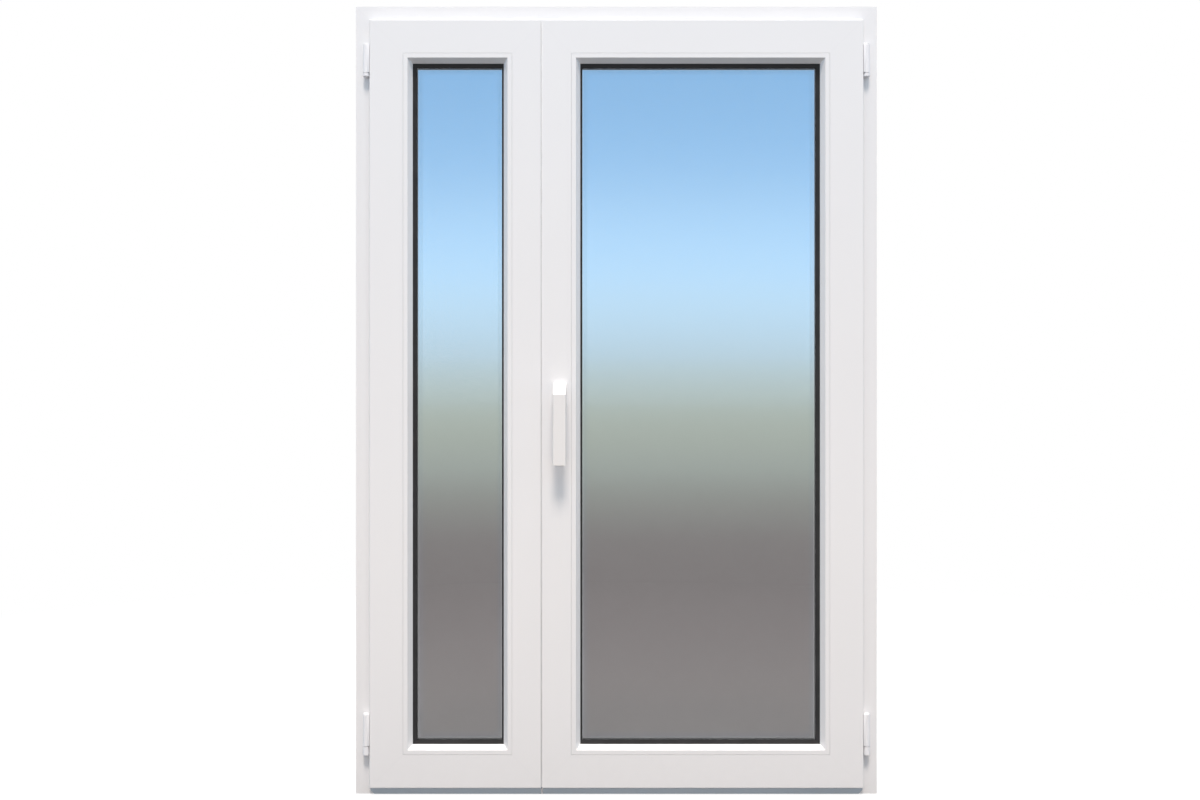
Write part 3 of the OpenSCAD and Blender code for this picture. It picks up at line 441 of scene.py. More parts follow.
@dataclass(frozen=True)
class ProfileFinish(Finish):
    """Satin-gloss white plastic of the extruded profiles, with its welded mitres."""

    ROUGHNESS = (0.24, 0.36)
    RELIEF = (0.25, 0.0002)
    rect: Rect = (-1.0, 1.0, -1.0, 3.0)
    reach: float = 0.08
    colour: Colour = (0.80, 0.80, 0.81, 1.0)
    dust: Colour = (0.55, 0.52, 0.48, 1.0)
    weld: Colour = (0.66, 0.66, 0.68, 1.0)
    weld_width: float = 0.0006
    weld_share: float = 0.35
    skin_share: float = 0.15

    def surface(self, tree: Tree, effects: Effects) -> bpy.types.NodeSocket:
        """Places the nodes of the white plastic."""
        tinted = tree.group(effects.mottle, Colour=self.colour, Scale=3.0, Amount=0.03)
        dusty = tree.group(effects.foot, Colour=tinted.outputs["Colour"], Dust=self.dust, Height=0.25, Amount=0.12)
        line = tree.group(effects.mitre, Reach=self.reach, Width=self.weld_width,
                          **dict(zip(SIDES, self.rect))).outputs["Mask"]
        colour = tree.mix(tree.math("MULTIPLY", line, self.weld_share), dusty.outputs["Colour"], self.weld)
        skin = tree.group(effects.relief, Scale=420.0, Detail=2.0).outputs["Height"]
        height = tree.math("SUBTRACT", tree.math("MULTIPLY", skin, self.skin_share), line)
        return self.shader(tree, colour, tinted.outputs["Mask"], height, IOR=1.53)


@dataclass(frozen=True)
class CoatingFinish(Finish):
    """White powder coat on the metal of handle and hinges."""

    ROUGHNESS = (0.3, 0.42)
    RELIEF = (0.2, 0.0001)
    colour: Colour = (0.83, 0.83, 0.85, 1.0)

    def surface(self, tree: Tree, effects: Effects) -> bpy.types.NodeSocket:
        """Places the nodes of the powder coat."""
        tinted = tree.group(effects.mottle, Colour=self.colour, Scale=14.0, Amount=0.03)
        peel = tree.group(effects.relief, Scale=900.0, Detail=3.0).outputs["Height"]
        return self.shader(tree, tinted.outputs["Colour"], tinted.outputs["Mask"], peel, IOR=1.5)


@dataclass(frozen=True)
class RubberFinish(Finish):
    """Extruded rubber, black unless told otherwise, with a faint bloom."""

    ROUGHNESS = (0.6, 0.8)
    RELIEF = (0.25, 0.0001)
    colour: Colour = (0.023, 0.023, 0.024, 1.0)
    bloom: Colour = (0.046, 0.046, 0.048, 1.0)
    bloom_from: float = 0.42
    bloom_gain: float = 1.2

    def surface(self, tree: Tree, effects: Effects) -> bpy.types.NodeSocket:
        """Places the nodes of the rubber."""
        tinted = tree.group(effects.mottle, Colour=self.colour, Scale=22.0, Amount=0.25)
        mask = tree.math("MULTIPLY", tree.math("SUBTRACT", tinted.outputs["Mask"], self.bloom_from, True),
                         self.bloom_gain, True)
        colour = tree.mix(mask, tinted.outputs["Colour"], self.bloom)
        grain = tree.group(effects.relief, Scale=1400.0, Detail=2.0).outputs["Height"]
        return self.shader(tree, colour, tinted.outputs["Mask"], grain, IOR=1.5, Specular_IOR_Level=0.22)


@dataclass(frozen=True)
class MouldedFinish(Finish):
    """Dull moulded plastic of spacers, setting blocks and the threshold's core."""

    ROUGHNESS = (0.55, 0.75)
    RELIEF = (0.3, 0.0002)
    colour: Colour = (0.020, 0.020, 0.022, 1.0)

    def surface(self, tree: Tree, effects: Effects) -> bpy.types.NodeSocket:
        """Places the nodes of the moulded plastic."""
        tinted = tree.group(effects.mottle, Colour=self.colour, Scale=30.0, Amount=0.3)
        grain = tree.group(effects.relief, Scale=700.0, Detail=3.0).outputs["Height"]
        return self.shader(tree, tinted.outputs["Colour"], tinted.outputs["Mask"], grain, IOR=1.5)


@dataclass(frozen=True)
class AluminiumFinish(Finish):
    """Grey anodised aluminium, drawn along the doorway; its dark blue-grey is partly the metal's own colour and
    partly painted shade, standing for the shadow that the leaves cast below them.
    """

    ROUGHNESS = (0.36, 0.55)
    RELIEF = (0.15, 0.0002)
    # Partly painted shade: this blue-grey also stands for the shadow that the leaves cast on the bottom frame
    colour: Colour = (0.33, 0.385, 0.445, 1.0)
    dust: Colour = (0.38, 0.37, 0.36, 1.0)

    def surface(self, tree: Tree, effects: Effects) -> bpy.types.NodeSocket:
        """Places the nodes of the anodised metal."""
        lines = tree.group(effects.drawn, Stretch=(1.5, 90.0, 90.0), Scale=14.0).outputs["Mask"]
        tinted = tree.group(effects.mottle, Colour=self.colour, Scale=9.0, Amount=0.12)
        dusty = tree.group(effects.foot, Colour=tinted.outputs["Colour"], Dust=self.dust, Height=0.03, Amount=0.4)
        return self.shader(tree, dusty.outputs["Colour"], lines, lines, Metallic=0.55)


@dataclass(frozen=True)
class ZincFinish(Finish):
    """Zinc-plated steel of the lock, bolts, pins and screws."""

    ROUGHNESS = (0.26, 0.45)
    RELIEF = (0.12, 0.0002)
    colour: Colour = (0.60, 0.61, 0.62, 1.0)
    tarnish: Colour = (0.52, 0.50, 0.44, 1.0)
    tarnish_from: float = 0.5
    tarnish_gain: float = 2.0

    def surface(self, tree: Tree, effects: Effects) -> bpy.types.NodeSocket:
        """Places the nodes of the plated steel."""
        tinted = tree.group(effects.mottle, Colour=self.colour, Scale=35.0, Amount=0.2)
        mask = tree.math("MULTIPLY", tree.math("SUBTRACT", tinted.outputs["Mask"], self.tarnish_from, True),
                         self.tarnish_gain, True)
        colour = tree.mix(mask, tinted.outputs["Colour"], self.tarnish)
        lines = tree.group(effects.drawn, Stretch=(60.0, 60.0, 2.0), Scale=16.0).outputs["Mask"]
        return self.shader(tree, colour, lines, lines, Metallic=1.0)


@dataclass(frozen=True)
class PaneFinish(Finish):
    """Float glass, clear or with a painted reflection of ground and sky that changes with height, a painted
    reflection of the edge seal as a dark strip along its rim and a painted reflection of the white bead as a lighter
    line at the sight edge; lamps shine through it.
    """

    stops: Tuple[Tuple[float, Colour], ...] = ()
    low: float = 0.0
    high: float = 1.0
    clear: Colour = (0.97, 0.985, 0.98, 1.0)
    shade: Colour = (0.85, 0.88, 0.90, 1.0)
    seal: Colour = (0.01, 0.10, 0.20, 1.0)
    sight: Rect = (-1.0, 1.0, -1.0, 3.0)
    strip: float = 0.013
    seal_reflection_share: float = 0.10
    line: float = 0.0035
    bead_reflection_share: float = 0.10

    def surface(self, tree: Tree, effects: Effects) -> bpy.types.NodeSocket:
        """Places the nodes of the glass."""
        glass = tree.add("ShaderNodeBsdfPrincipled", Base_Color=self.clear, Roughness=0.0, IOR=1.5, Metallic=0.0,
                         Transmission_Weight=1.0)
        # Painted reflection: with stops, the pane's colour runs from ground to sky with height
        if self.stops:
            height = tree.add("ShaderNodeMapRange", Value=tree.place("Z"), From_Min=self.low, From_Max=self.high)
            colour = tree.ramp(height.outputs[0], self.stops)
            bounds = dict(zip(SIDES, self.sight))
            # Painted reflections: the dark edge seal as a strip along the rim, then the white bead as a lighter line
            # in the clear colour
            for width, share, reflection_colour in ((self.strip, self.seal_reflection_share, self.seal),
                                       (self.line, self.bead_reflection_share, self.clear)):
                mask = tree.group(effects.border, Width=width, **bounds).outputs["Mask"]
                colour = tree.mix(tree.math("MULTIPLY", mask, share), colour, reflection_colour)
            tree.join(colour, glass.inputs["Base Color"])
        else:
            film = tree.group(effects.mottle, Colour=self.clear, Scale=1.5, Amount=0.02)
            tree.join(film.outputs["Colour"], glass.inputs["Base Color"])
        through = tree.add("ShaderNodeBsdfTransparent", Color=self.shade)
        path = tree.add("ShaderNodeLightPath")
        return tree.blend(path.outputs["Is Shadow Ray"], glass, through).outputs[0]


POWDER_COAT = CoatingFinish("white_powder_coat")
SEAL_RUBBER = RubberFinish("black_seal_rubber")
DARK_PLASTIC = MouldedFinish("dark_moulded_plastic", (0.06, 0.06, 0.065, 1.0))
PLATED_STEEL = ZincFinish("zinc_plated_steel")


@dataclass
class Wardrobe:
    """All finishes of the doors, and the nodes that they have dressed."""

    effects: Effects
    nodes: Dict[str, bpy.types.Object]
    merge: float = 0.00001
    sharp: float = math.radians(40.0)
    dressed: List[str] = field(default_factory=list)
    made: Dict[str, bpy.types.Material] = field(default_factory=dict)

    def material(self, finish: Finish) -> bpy.types.Material:
        """Gives a finish's material, made at its first use.

        Args:
            finish: The finish.

        Returns:
            Its material.
        """
        if finish.name not in self.made:
            self.made[finish.name] = finish.build(self.effects)
        return self.made[finish.name]

    def dress(self, names: Iterable[str], finish: Finish) -> None:
        """Puts a finish on CAD nodes.

        Args:
            names: Node names.
            finish: The finish.
        """
        material = self.material(finish)
        for name in names:
            for slot in self.nodes[name].material_slots:
                slot.material = material
            self.dressed.append(name)
            LOG.info("%s: %s", name, finish.name)

    def soften(self, names: Iterable[str], width: float) -> None:
        """Rounds the sharp edges of CAD nodes with modifiers.

        Args:
            names: Node names.
            width: Width of the rounding in metres.
        """
        for name in names:
            node = self.nodes[name]
            weld = node.modifiers.new("merge", "WELD")
            weld.merge_threshold = self.merge
            bevel = node.modifiers.new("round", "BEVEL")
            bevel.width = width
            bevel.segments = 2
            bevel.limit_method = "ANGLE"
            bevel.angle_limit = self.sharp


@dataclass
class OuterFrame:
    """Fixed frame with its weather seal, bolt keep and fixed hinge halves."""

    rect: Rect = (-0.662, 0.662, -0.5, 2.0)
    reach: float = 0.066

    def dress(self, wardrobe: Wardrobe) -> None:
        """Puts the finishes on the frame's nodes.

        Args:
            wardrobe: The finishes.
        """
        wardrobe.dress(["outer_frame"], ProfileFinish("white_frame_profile", self.rect, self.reach))
        wardrobe.dress(["frame_gasket"], SEAL_RUBBER)
        brackets = [f"{side}_{level}_hinge_bracket" for side in ("right", "left") for level in ("upper", "lower")]
        wardrobe.dress(brackets, POWDER_COAT)
        wardrobe.dress(["head_bolt_keep", "hinge_pins", "hinge_bracket_screws"], PLATED_STEEL)


@dataclass
class Threshold:
    """Low threshold: core, aluminium rail, joint strip and bolt keep."""

    def dress(self, wardrobe: Wardrobe) -> None:
        """Puts the finishes on the threshold's nodes.

        Args:
            wardrobe: The finishes.
        """
        wardrobe.dress(["threshold_base"], DARK_PLASTIC)
        wardrobe.dress(["threshold_rail"], AluminiumFinish("shaded_grey_anodised_aluminium"))
        wardrobe.dress(["threshold_joint_strip"], CoatingFinish("white_joint_plastic"))
        wardrobe.dress(["threshold_bolt_keep"], PLATED_STEEL)


@dataclass
class Leaf:
    """One glazed leaf with its sash, beads, glass unit, rubbers and hinge halves."""

    hand: Hand
    rect: Rect
    reach: float = 0.112
    glass_low: float = 0.125
    glass_high: float = 1.855
    cover: float = 0.1178
    meeting_shift: float = 0.0055
    veil: float = 0.085
    # Painted reflection on the outer pane: colours and heights of ground, bank, hedge, haze and sky that the glass
    # stands for mirroring
    ground: Tint = (0.205, 0.19, 0.19)
    ground_z: float = 0.64
    bank: Tint = (0.305, 0.33, 0.31)
    bank_z: float = 0.80
    hedge: Tint = (0.42, 0.485, 0.46)
    hedge_z: float = 0.98
    haze: Tint = (0.49, 0.64, 0.74)
    haze_z: float = 1.11
    low_sky: Tint = (0.50, 0.745, 0.99)
    low_sky_z: float = 1.31
    mid_sky: Tint = (0.348, 0.595, 0.90)
    mid_sky_z: float = 1.57
    high_sky: Tint = (0.255, 0.485, 0.79)

    def names(self, *ends: str) -> List[str]:
        """Gives node names of this leaf from their endings."""
        return [f"{self.hand.value}_{end}" for end in ends]

    def sight(self) -> Rect:
        """Gives the rectangle of glass that the rubber leaves open."""
        inner = [self.rect[0] + self.cover, self.rect[1] - self.cover, self.rect[2] + self.cover,
                 self.rect[3] - self.cover]
        if self.hand is Hand.ACTIVE:
            inner[0] -= self.meeting_shift
        else:
            inner[1] += self.meeting_shift
        return tuple(inner)

    def painted_reflection(self) -> PaneFinish:
        """Gives the outer pane's painted reflection of sky and ground: pale blue above, grey-green at mid height,
        warm grey below.

        Returns:
            The glass with its painted reflection.
        """
        span = self.glass_high - self.glass_low
        shades = ((self.glass_low, self.ground), (self.ground_z, self.ground), (self.bank_z, self.bank),
                  (self.hedge_z, self.hedge), (self.haze_z, self.haze), (self.low_sky_z, self.low_sky),
                  (self.mid_sky_z, self.mid_sky), (self.glass_high, self.high_sky))
        stops = tuple(((height - self.glass_low) / span,
                       tuple((part - self.veil) / (1.0 - self.veil) for part in shade) + (1.0,))
                      for height, shade in shades)
        # The material is named tinted, but its colour is a painted reflection of ground and sky
        return PaneFinish(f"tinted_{self.hand.value}_glass", stops, self.glass_low, self.glass_high,
                          sight=self.sight())

    def dress(self, wardrobe: Wardrobe) -> None:
        """Puts the finishes on the leaf's nodes.

        Args:
            wardrobe: The finishes.
        """
        profile = ProfileFinish(f"white_{self.hand.value}_profile", self.rect, self.reach)
        wardrobe.dress(self.names("sash", "bead_top", "bead_bottom", "bead_meeting", "bead_hinge"), profile)
        wardrobe.dress(self.names("inner_pane"), PaneFinish("clear_float_glass"))
        wardrobe.dress(self.names("outer_pane"), self.painted_reflection())
        wardrobe.dress(self.names("spacer"), MouldedFinish("black_edge_spacer"))
        wardrobe.dress(self.names("inner_gasket", "outer_gasket"), RubberFinish("black_glazing_rubber"))
        wardrobe.dress(self.names("overlap_gasket", "meeting_seal", "bottom_seal"), SEAL_RUBBER)
        wardrobe.dress(self.names("setting_blocks"), DARK_PLASTIC)
        wardrobe.dress(self.names("upper_hinge", "lower_hinge"), POWDER_COAT)
        wardrobe.dress(self.names("hinge_screws"), PLATED_STEEL)


@dataclass
class Fittings:
    """Handle, lock and flush bolts."""

    edge: float = 0.0008
    # Painted shade: the handle's coat is a darker, warmer copy of the white powder coat, offsetting the extra light
    # that falls on the lever
    coat: Colour = (0.785, 0.775, 0.77, 1.0)

    def dress(self, wardrobe: Wardrobe) -> None:
        """Puts the finishes on the fittings' nodes.

        Args:
            wardrobe: The finishes.
        """
        wardrobe.dress(["handle_base", "handle_lever"], CoatingFinish("shaded_white_handle_coat", self.coat))
        wardrobe.soften(["handle_base"], self.edge)
        wardrobe.dress(["lock_faceplate", "lock_gearbox", "handle_screws", "handle_spindle", "lock_pinion",
                        "upper_lock_rod", "lower_lock_rod", "lock_keeps", "flush_bolt_plates", "upper_flush_bolt",
                        "lower_flush_bolt"], PLATED_STEEL)


class Bench:
    """Modelling steps that the small pieces share."""

    SMOOTH = math.radians(35.0)

    @staticmethod
    def clear() -> None:
        """Deselects everything and picks faces from here on."""
        bpy.ops.object.select_all(action="DESELECT")
        bpy.context.tool_settings.mesh_select_mode = (False, False, True)

    @staticmethod
    def hold(piece: bpy.types.Object) -> None:
        """Selects one piece alone and makes it the active one.

        Args:
            piece: The piece to work on.
        """
        Bench.clear()
        piece.select_set(True)
        bpy.context.view_layer.objects.active = piece

    @staticmethod
    def settle(name: str) -> bpy.types.Object:
        """Names the new object and puts its place into its mesh.

        Args:
            name: Name of the piece.

        Returns:
            The piece.
        """
        piece = bpy.context.object
        piece.name = name
        piece.data.name = name
        bpy.ops.object.transform_apply(location=True, rotation=True, scale=True)
        return piece

    @staticmethod
    def pick(piece: bpy.types.Object, facing: Vector, least: float = 0.9) -> None:
        """Opens edit mode with only the largest face on one side selected.

        Args:
            piece: The piece in hand.
            facing: Direction that the face looks.
            least: How well its normal has to agree.
        """
        bpy.ops.object.mode_set(mode="OBJECT")
        mesh = piece.data
        for part in (mesh.vertices, mesh.edges, mesh.polygons):
            part.foreach_set("select", [False] * len(part))
        turned = [face for face in mesh.polygons if face.normal.dot(facing) > least]
        best = max(turned, key=lambda face: (round(face.area, 10), face.center.dot(facing)))
        best.select = True
        bpy.ops.object.mode_set(mode="EDIT")

    @staticmethod
    def done(piece: bpy.types.Object) -> None:
        """Leaves edit mode with outward faces and smooth curves.

        Args:
            piece: The piece in hand.
        """
        bpy.ops.object.mode_set(mode="EDIT")
        bpy.ops.mesh.select_all(action="SELECT")
        bpy.ops.mesh.normals_make_consistent(inside=False)
        bpy.ops.object.mode_set(mode="OBJECT")
        Bench.hold(piece)
        bpy.ops.object.shade_smooth_by_angle(angle=Bench.SMOOTH)

    @staticmethod
    def repeat(piece: bpy.types.Object, places: Sequence[Vector]) -> bpy.types.Object:
        """Copies a piece to more places and joins the copies to it.

        Args:
            piece: The piece, already at the first place.
            places: All places, the first among them.

        Returns:
            The joined piece.
        """
        copies = [piece]
        for place in places[1:]:
            Bench.hold(piece)
            bpy.ops.object.duplicate(linked=False)
            copy = bpy.context.object
            copy.location = place - places[0]
            bpy.ops.object.transform_apply(location=True)
            copies.append(copy)
        Bench.clear()
        for copy in copies:
            copy.select_set(True)
        bpy.context.view_layer.objects.active = piece
        if len(copies) > 1:
            bpy.ops.object.join()
        return piece


@dataclass
class SmallParts:
    """Small pieces on the CAD: hinge caps and flaps, the lip in the seam, screw heads and drain covers.

    A cap's rings are inset width and step of each ring on its end. A screw's cross is length and width of a slot.
    """

    wardrobe: Wardrobe
    pin_y: float = -0.049
    pin_x: float = 0.6339
    cap_radius: float = 0.0071
    cap_height: float = 0.0014
    cap_round: float = 0.0008
    cap_rings: Tuple[Span, ...] = ((0.0016, 0.0), (0.0003, -0.0003), (0.0006, 0.0), (0.0003, 0.0003))
    lock_y: float = -0.014
    screw_radius: float = 0.0034
    screw_height: float = 0.0012
    screw_sunk: float = 0.0006
    screw_round: float = 0.0005
    screw_cross: Span = (0.0036, 0.0009)
    screw_slot: float = 0.0012
    plate_screws: Tuple[float, ...] = (0.115, 0.260, 0.570, 0.900, 1.130, 1.430, 1.750, 1.887)
    bolt_screws: Span = (0.01, 0.23)
    drain_size: Point = (0.044, 0.006, 0.013)
    drain_z: float = 0.078
    drain_sunk: float = 0.0005
    drain_taper: Point = (0.9, 1.0, 0.72)
    drain_round: float = 0.0016
    drain_wall: float = 0.0009
    drain_slot: float = 0.0035
    flap_x: Span = (0.6254, 0.6345)
    flap_y: Span = (-0.0560, -0.0533)
    flap_end: float = 0.0006
    flap_round: float = 0.0006
    lip_x: Span = (-0.1902, -0.1866)
    lip_y: Span = (-0.0555, -0.0529)
    lip_z: Span = (0.0215, 1.9595)
    lip_round: float = 0.0003
    lip_pale: Colour = (0.78, 0.78, 0.79, 1.0)
    lip_bloom: Colour = (0.80, 0.80, 0.81, 1.0)

    def build(self) -> None:
        """Makes all the small pieces."""
        for hand, side, body in ((Hand.ACTIVE, 1.0, "active_leaf"), (Hand.PASSIVE, -1.0, "passive_leaf")):
            for level in ("upper", "lower"):
                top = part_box(f"{hand.value}_{level}_hinge")[1][2]
                self.cap(f"{hand.value}_{level}_hinge_cap", side, top, 1.0, body)
                self.flap(f"{hand.value}_{level}_hinge_flap", side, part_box(f"{hand.value}_{level}_hinge"), body)
                bracket = f"{'right' if side > 0.0 else 'left'}_{level}_hinge_bracket"
                self.cap(f"{bracket}_cap", side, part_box(bracket)[0][2], -1.0, "frame")
        low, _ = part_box("lock_faceplate")
        self.screws("faceplate_screws", low[0], -1.0, self.plate_screws, "active_leaf")
        low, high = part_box("flush_bolt_plates")
        near, far = self.bolt_screws
        heights = (low[2] + near, low[2] + far, high[2] - far, high[2] - near)
        self.screws("bolt_plate_screws", high[0], 1.0, heights, "passive_leaf")
        self.lip("meeting_seam_lip", "active_leaf")
        self.drains("active_drain_covers", "active_sash", "active_leaf", shares=(0.25, 0.75))
        self.drains("passive_drain_covers", "passive_sash", "passive_leaf", shares=(0.3, 0.7))

    def finish(self, piece: bpy.types.Object, finish: Finish, slot: Slot, body: str) -> None:
        """Dresses a piece and fixes it to its body.

        Args:
            piece: The piece.
            finish: Its finish.
            slot: Its material slot in the record; not used.
            body: The body that carries it.
        """
        piece.data.materials.clear()
        piece.data.materials.append(self.wardrobe.material(finish))
        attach(piece, body)
        LOG.info("%s: %d faces on %s", piece.name, len(piece.data.polygons), body)

    def cap(self, name: str, side: float, end: float, up: float, body: str) -> None:
        """Models the moulded cap on one end of a hinge barrel.

        Args:
            name: Name of the cap.
            side: 1 for the right-hand hinges, -1 for the left.
            end: Height of the barrel's end.
            up: 1 for a cap on top, -1 for one below.
            body: The body that carries it.
        """
        Bench.clear()
        bpy.ops.mesh.primitive_cylinder_add(vertices=40, radius=self.cap_radius, depth=self.cap_height,
                                            location=(side * self.pin_x, self.pin_y, end + up * self.cap_height / 2))
        piece = Bench.settle(name)
        face = Vector((0.0, 0.0, up))
        Bench.pick(piece, face)
        bpy.ops.mesh.bevel(offset=self.cap_round, segments=3, affect="EDGES")
        Bench.pick(piece, face)
        for width, step in self.cap_rings:
            bpy.ops.mesh.inset(thickness=width, depth=step)
        Bench.done(piece)
        self.finish(piece, POWDER_COAT, Slot.COATING, body)

    @staticmethod
    def bar(name: str, low: Vector, high: Vector, edge: float) -> bpy.types.Object:
        """Models a bar between two opposite corners, with rounded edges on its room face.

        Args:
            name: Name of the piece.
            low: Its lowest corner.
            high: Its highest corner.
            edge: Width of the rounding.

        Returns:
            The bar.
        """
        Bench.clear()
        bpy.ops.mesh.primitive_cube_add(size=1.0, location=(low + high) / 2.0)
        bpy.context.object.scale = high - low
        piece = Bench.settle(name)
        Bench.pick(piece, ROOMWARD)
        bpy.ops.mesh.bevel(offset=edge, segments=3, affect="EDGES")
        Bench.done(piece)
        return piece

    def flap(self, name: str, side: float, box: Sequence[Sequence[float]], body: str) -> None:
        """Models the flat flap that joins a hinge barrel to its leaf.

        Args:
            name: Name of the flap.
            side: 1 for the right-hand hinges, -1 for the left.
            box: The hinge's lowest and highest corners.
            body: The body that carries it.
        """
        ends = sorted(side * across for across in self.flap_x)
        piece = self.bar(name, Vector((ends[0], self.flap_y[0], box[0][2] + self.flap_end)),
                         Vector((ends[1], self.flap_y[1], box[1][2] - self.flap_end)), self.flap_round)
        self.finish(piece, POWDER_COAT, Slot.COATING, body)

    def lip(self, name: str, body: str) -> None:
        """Models the pale lip on the tongue that closes the meeting seam.

        Args:
            name: Name of the lip.
            body: The body that carries it.
        """
        low, high = (Vector(corner) for corner in zip(self.lip_x, self.lip_y, self.lip_z))
        piece = self.bar(name, low, high, self.lip_round)
        self.finish(piece, RubberFinish("pale_seam_lip", self.lip_pale, self.lip_bloom), Slot.PROFILE, body)

    def screws(self, name: str, plane: float, out: float, heights: Sequence[float], body: str) -> None:
        """Models a row of cross-recess screws in the edge of a stile.

        Args:
            name: Name of the row.
            plane: Where the plate's face lies.
            out: 1 for heads that look right, -1 for left.
            heights: Heights of the screws.
            body: The body that carries them.
        """
        middle = plane + out * (self.screw_sunk - self.screw_height / 2)
        places = [Vector((middle, self.lock_y, height)) for height in heights]
        Bench.clear()
        bpy.ops.mesh.primitive_cylinder_add(vertices=32, radius=self.screw_radius, depth=self.screw_height,
                                            location=places[0], rotation=(0.0, math.radians(90.0), 0.0))
        piece = Bench.settle(name)
        Bench.pick(piece, Vector((out, 0.0, 0.0)))
        bpy.ops.mesh.bevel(offset=self.screw_round, segments=3, affect="EDGES")
        bpy.ops.object.mode_set(mode="OBJECT")
        for sides in (self.screw_cross, self.screw_cross[::-1]):
            self.notch(piece, places[0] + Vector((out * self.screw_height / 2, 0.0, 0.0)), (self.screw_slot, *sides))
        Bench.done(piece)
        Bench.repeat(piece, places)
        self.finish(piece, PLATED_STEEL, Slot.ZINC, body)

    @staticmethod
    def notch(piece: bpy.types.Object, place: Vector, size: Point) -> None:
        """Cuts a block-shaped notch into a piece.

        Args:
            piece: The piece.
            place: Middle of the notch.
            size: Its sides.
        """
        Bench.clear()
        bpy.ops.mesh.primitive_cube_add(size=1.0, location=place)
        cutter = bpy.context.object
        cutter.scale = size
        bpy.ops.object.transform_apply(location=True, rotation=True, scale=True)
        Bench.hold(piece)
        cut = piece.modifiers.new("notch", "BOOLEAN")
        cut.operation = "DIFFERENCE"
        cut.solver = "EXACT"
        cut.object = cutter
        bpy.ops.object.modifier_apply(modifier="notch")
        bpy.data.objects.remove(cutter, do_unlink=True)

    def drains(self, name: str, node: str, body: str, shares: Sequence[float]) -> None:
        """Models the covers over the drain slots on the outdoor side of a bottom rail.

        Args:
            name: Name of the covers.
            node: The sash that they sit on.
            body: The body that carries them.
            shares: Places along the rail, as parts of its width.
        """
        low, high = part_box(node)
        middle = high[1] + self.drain_size[1] / 2 - self.drain_sunk
        places = [Vector((low[0] + part * (high[0] - low[0]), middle, self.drain_z)) for part in shares]
        Bench.clear()
        bpy.ops.mesh.primitive_cube_add(size=1.0, location=places[0])
        bpy.context.object.scale = self.drain_size
        piece = Bench.settle(name)
        Bench.pick(piece, OUTWARD)
        bpy.ops.transform.resize(value=self.drain_taper)
        bpy.ops.mesh.bevel(offset=self.drain_round, segments=4, affect="EDGES")
        Bench.pick(piece, DOWNWARD, least=0.6)
        bpy.ops.mesh.inset(thickness=self.drain_wall, depth=0.0)
        bpy.ops.mesh.inset(thickness=0.0, depth=-self.drain_slot)
        Bench.done(piece)
        Bench.repeat(piece, places)
        self.finish(piece, CoatingFinish("white_moulded_cover"), Slot.PROFILE, body)


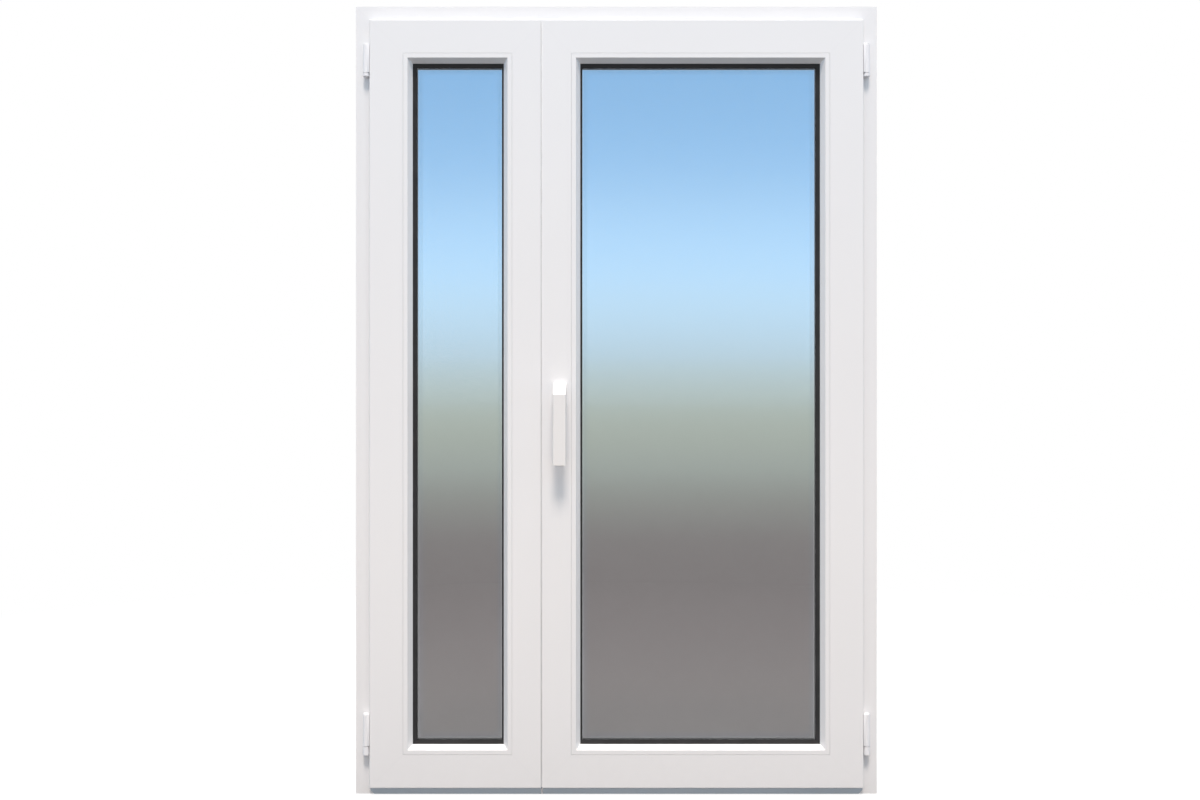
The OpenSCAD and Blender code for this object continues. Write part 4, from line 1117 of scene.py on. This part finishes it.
@dataclass
class Studio:
    """Plain studio: pale floor, soft lamps, pale surround and the camera."""

    eye: Point = (-0.0416, -3.485, 1.0004)
    lens: float = 40.68
    aim: Point = (0.0, 0.0, 1.0)
    dome_low: Colour = (0.05, 0.05, 0.053, 1.0)
    dome_mid: Colour = (0.55, 0.605, 0.695, 1.0)
    dome_high: Colour = (0.59, 0.645, 0.735, 1.0)
    floor_size: float = 14.0
    floor_z: float = -0.0005
    floor_dull: Colour = (0.06, 0.06, 0.063, 1.0)
    floor_pale: Colour = (0.9, 0.9, 0.9, 1.0)
    glow_share: Span = (0.75, 1.0)
    glow_reach: Span = (1.2, 4.0)

    def build(self) -> None:
        """Sets up everything round the doors."""
        bpy.context.scene.view_settings.view_transform = "Standard"
        self.camera()
        self.lamps()
        self.surround()
        self.floor()

    def camera(self) -> None:
        """Places the camera straight in front of the doors."""
        data = bpy.data.cameras.new("front_camera")
        data.lens = self.lens
        data.sensor_width = 36.0
        data.clip_end = 60.0
        camera = bpy.data.objects.new("front_camera", data)
        camera.location = self.eye
        camera.rotation_euler = (math.radians(90.0), 0.0, 0.0)
        bpy.context.scene.collection.objects.link(camera)
        bpy.context.scene.camera = camera

    def lamp(self, name: str, place: Point, size: Span, watts: float, colour: Tint) -> None:
        """Adds one soft lamp aimed at the middle of the doors, which the glass doesn't mirror.

        Args:
            name: Name of the lamp.
            place: Where it stands.
            size: Its width and height.
            watts: Its power.
            colour: Its light.
        """
        data = bpy.data.lights.new(name, "AREA")
        data.shape = "RECTANGLE"
        data.size, data.size_y = size
        data.energy = watts
        data.color = colour
        lamp = bpy.data.objects.new(name, data)
        lamp.location = place
        way = Vector(self.aim) - Vector(place)
        lamp.rotation_euler = way.to_track_quat("-Z", "Y").to_euler()
        lamp.visible_camera = False
        lamp.visible_glossy = False
        lamp.visible_transmission = False
        bpy.context.scene.collection.objects.link(lamp)

    def lamps(self) -> None:
        """Adds the lamps: strong ones high in front and overhead, weak ones near head, sill and sides, one behind."""
        self.lamp("top_softbox", (0.0, -11.0, 23.0), (5.4, 5.4), 5650.0, (1.0, 0.885, 0.785))
        self.lamp("overhead_softbox", (0.0, -0.9, 12.0), (4.0, 1.0), 580.0, (1.0, 0.95, 0.9))
        self.lamp("high_softbox", (0.0, -1.8, 2.5), (3.0, 0.4), 5.0, (0.42, 0.76, 1.0))
        self.lamp("low_softbox", (0.0, -1.6, 0.35), (3.0, 0.4), 6.5, (1.0, 0.78, 0.55))
        for name, side in (("left_softbox", -1.0), ("right_softbox", 1.0)):
            self.lamp(name, (side * 6.0, -1.0, 1.0), (1.2, 2.2), 45.0, (0.72, 0.88, 1.0))
        self.lamp("back_softbox", (0.0, 3.4, 4.2), (3.0, 2.0), 110.0, (1.0, 1.0, 1.0))

    def surround(self) -> None:
        """Makes the world: white to look at, a cool dome as light that darkens towards the floor."""
        world = bpy.data.worlds.new("studio_surround")
        bpy.context.scene.world = world
        world.use_nodes = True
        tree = Tree(world.node_tree)
        direction = tree.add("ShaderNodeTexCoord").outputs["Generated"]
        height = tree.add("ShaderNodeSeparateXYZ", Vector=direction).outputs["Z"]
        part = tree.add("ShaderNodeMapRange", Value=height, From_Min=-1.0, From_Max=1.0).outputs[0]
        dome = tree.ramp(part, ((0.0, self.dome_low), (0.5, self.dome_mid), (1.0, self.dome_high)))
        light = tree.add("ShaderNodeBackground", Color=dome, Strength=1.0)
        seen = tree.add("ShaderNodeBackground", Color=WHITE, Strength=1.0)
        mixed = tree.blend(self.seen_rays(tree), light, seen)
        output = tree.add("ShaderNodeOutputWorld")
        tree.join(mixed.outputs[0], output.inputs["Surface"])

    @staticmethod
    def seen_rays(tree: Tree) -> bpy.types.NodeSocket:
        """Tells the rays that look at the surround from those that gather light.

        Args:
            tree: Tree of the floor or the world.

        Returns:
            A socket that is 1 for camera, mirror and glass rays.
        """
        path = tree.add("ShaderNodeLightPath")
        shown = tree.math("MAXIMUM", path.outputs["Is Camera Ray"], path.outputs["Is Glossy Ray"])
        return tree.math("MAXIMUM", shown, path.outputs["Is Transmission Ray"])

    def floor(self) -> None:
        """Lays the floor: white to look at with a faint shadow, dull to the light that it throws back."""
        bpy.ops.object.select_all(action="DESELECT")
        bpy.ops.mesh.primitive_plane_add(size=self.floor_size, location=(0.0, 0.0, self.floor_z))
        floor = bpy.context.object
        floor.name = "studio_floor"
        bpy.ops.object.transform_apply(location=True, rotation=True, scale=True)
        material = bpy.data.materials.new("pale_floor")
        material.use_nodes = True
        tree = Tree(material.node_tree)
        dull = tree.add("ShaderNodeBsdfDiffuse", Color=self.floor_dull, Roughness=0.6)
        pale = tree.add("ShaderNodeBsdfDiffuse", Color=self.floor_pale, Roughness=0.6)
        white = tree.add("ShaderNodeEmission", Color=WHITE, Strength=1.0)
        away = tree.add("ShaderNodeVectorMath", {"operation": "LENGTH"})
        tree.join(tree.place(), away.inputs[0])
        near, far = self.glow_reach
        least, most = self.glow_share
        share = tree.add("ShaderNodeMapRange", Value=away.outputs["Value"], From_Min=near, From_Max=far, To_Min=least,
                         To_Max=most).outputs[0]
        mixed = tree.blend(self.seen_rays(tree), dull, tree.blend(share, pale, white))
        output = tree.add("ShaderNodeOutputMaterial")
        tree.join(mixed.outputs[0], output.inputs["Surface"])
        floor.data.materials.append(material)


def main() -> None:
    """Builds the doors' looks in order."""
    logging.basicConfig(level=logging.INFO, format="%(message)s")
    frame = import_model()
    wardrobe = Wardrobe(Effects(), frame["nodes"])
    OuterFrame().dress(wardrobe)
    Threshold().dress(wardrobe)
    Leaf(Hand.ACTIVE, rect=(-0.199, 0.625, 0.018, 1.963)).dress(wardrobe)
    Leaf(Hand.PASSIVE, rect=(-0.625, -0.179, 0.018, 1.963)).dress(wardrobe)
    Fittings().dress(wardrobe)
    SmallParts(wardrobe).build()
    bare = sorted(set(frame["nodes"]) - set(wardrobe.dressed))
    if bare:
        LOG.warning("nodes without a finish: %s", ", ".join(bare))
    Studio().build()


if __name__ == "__main__":
    main()
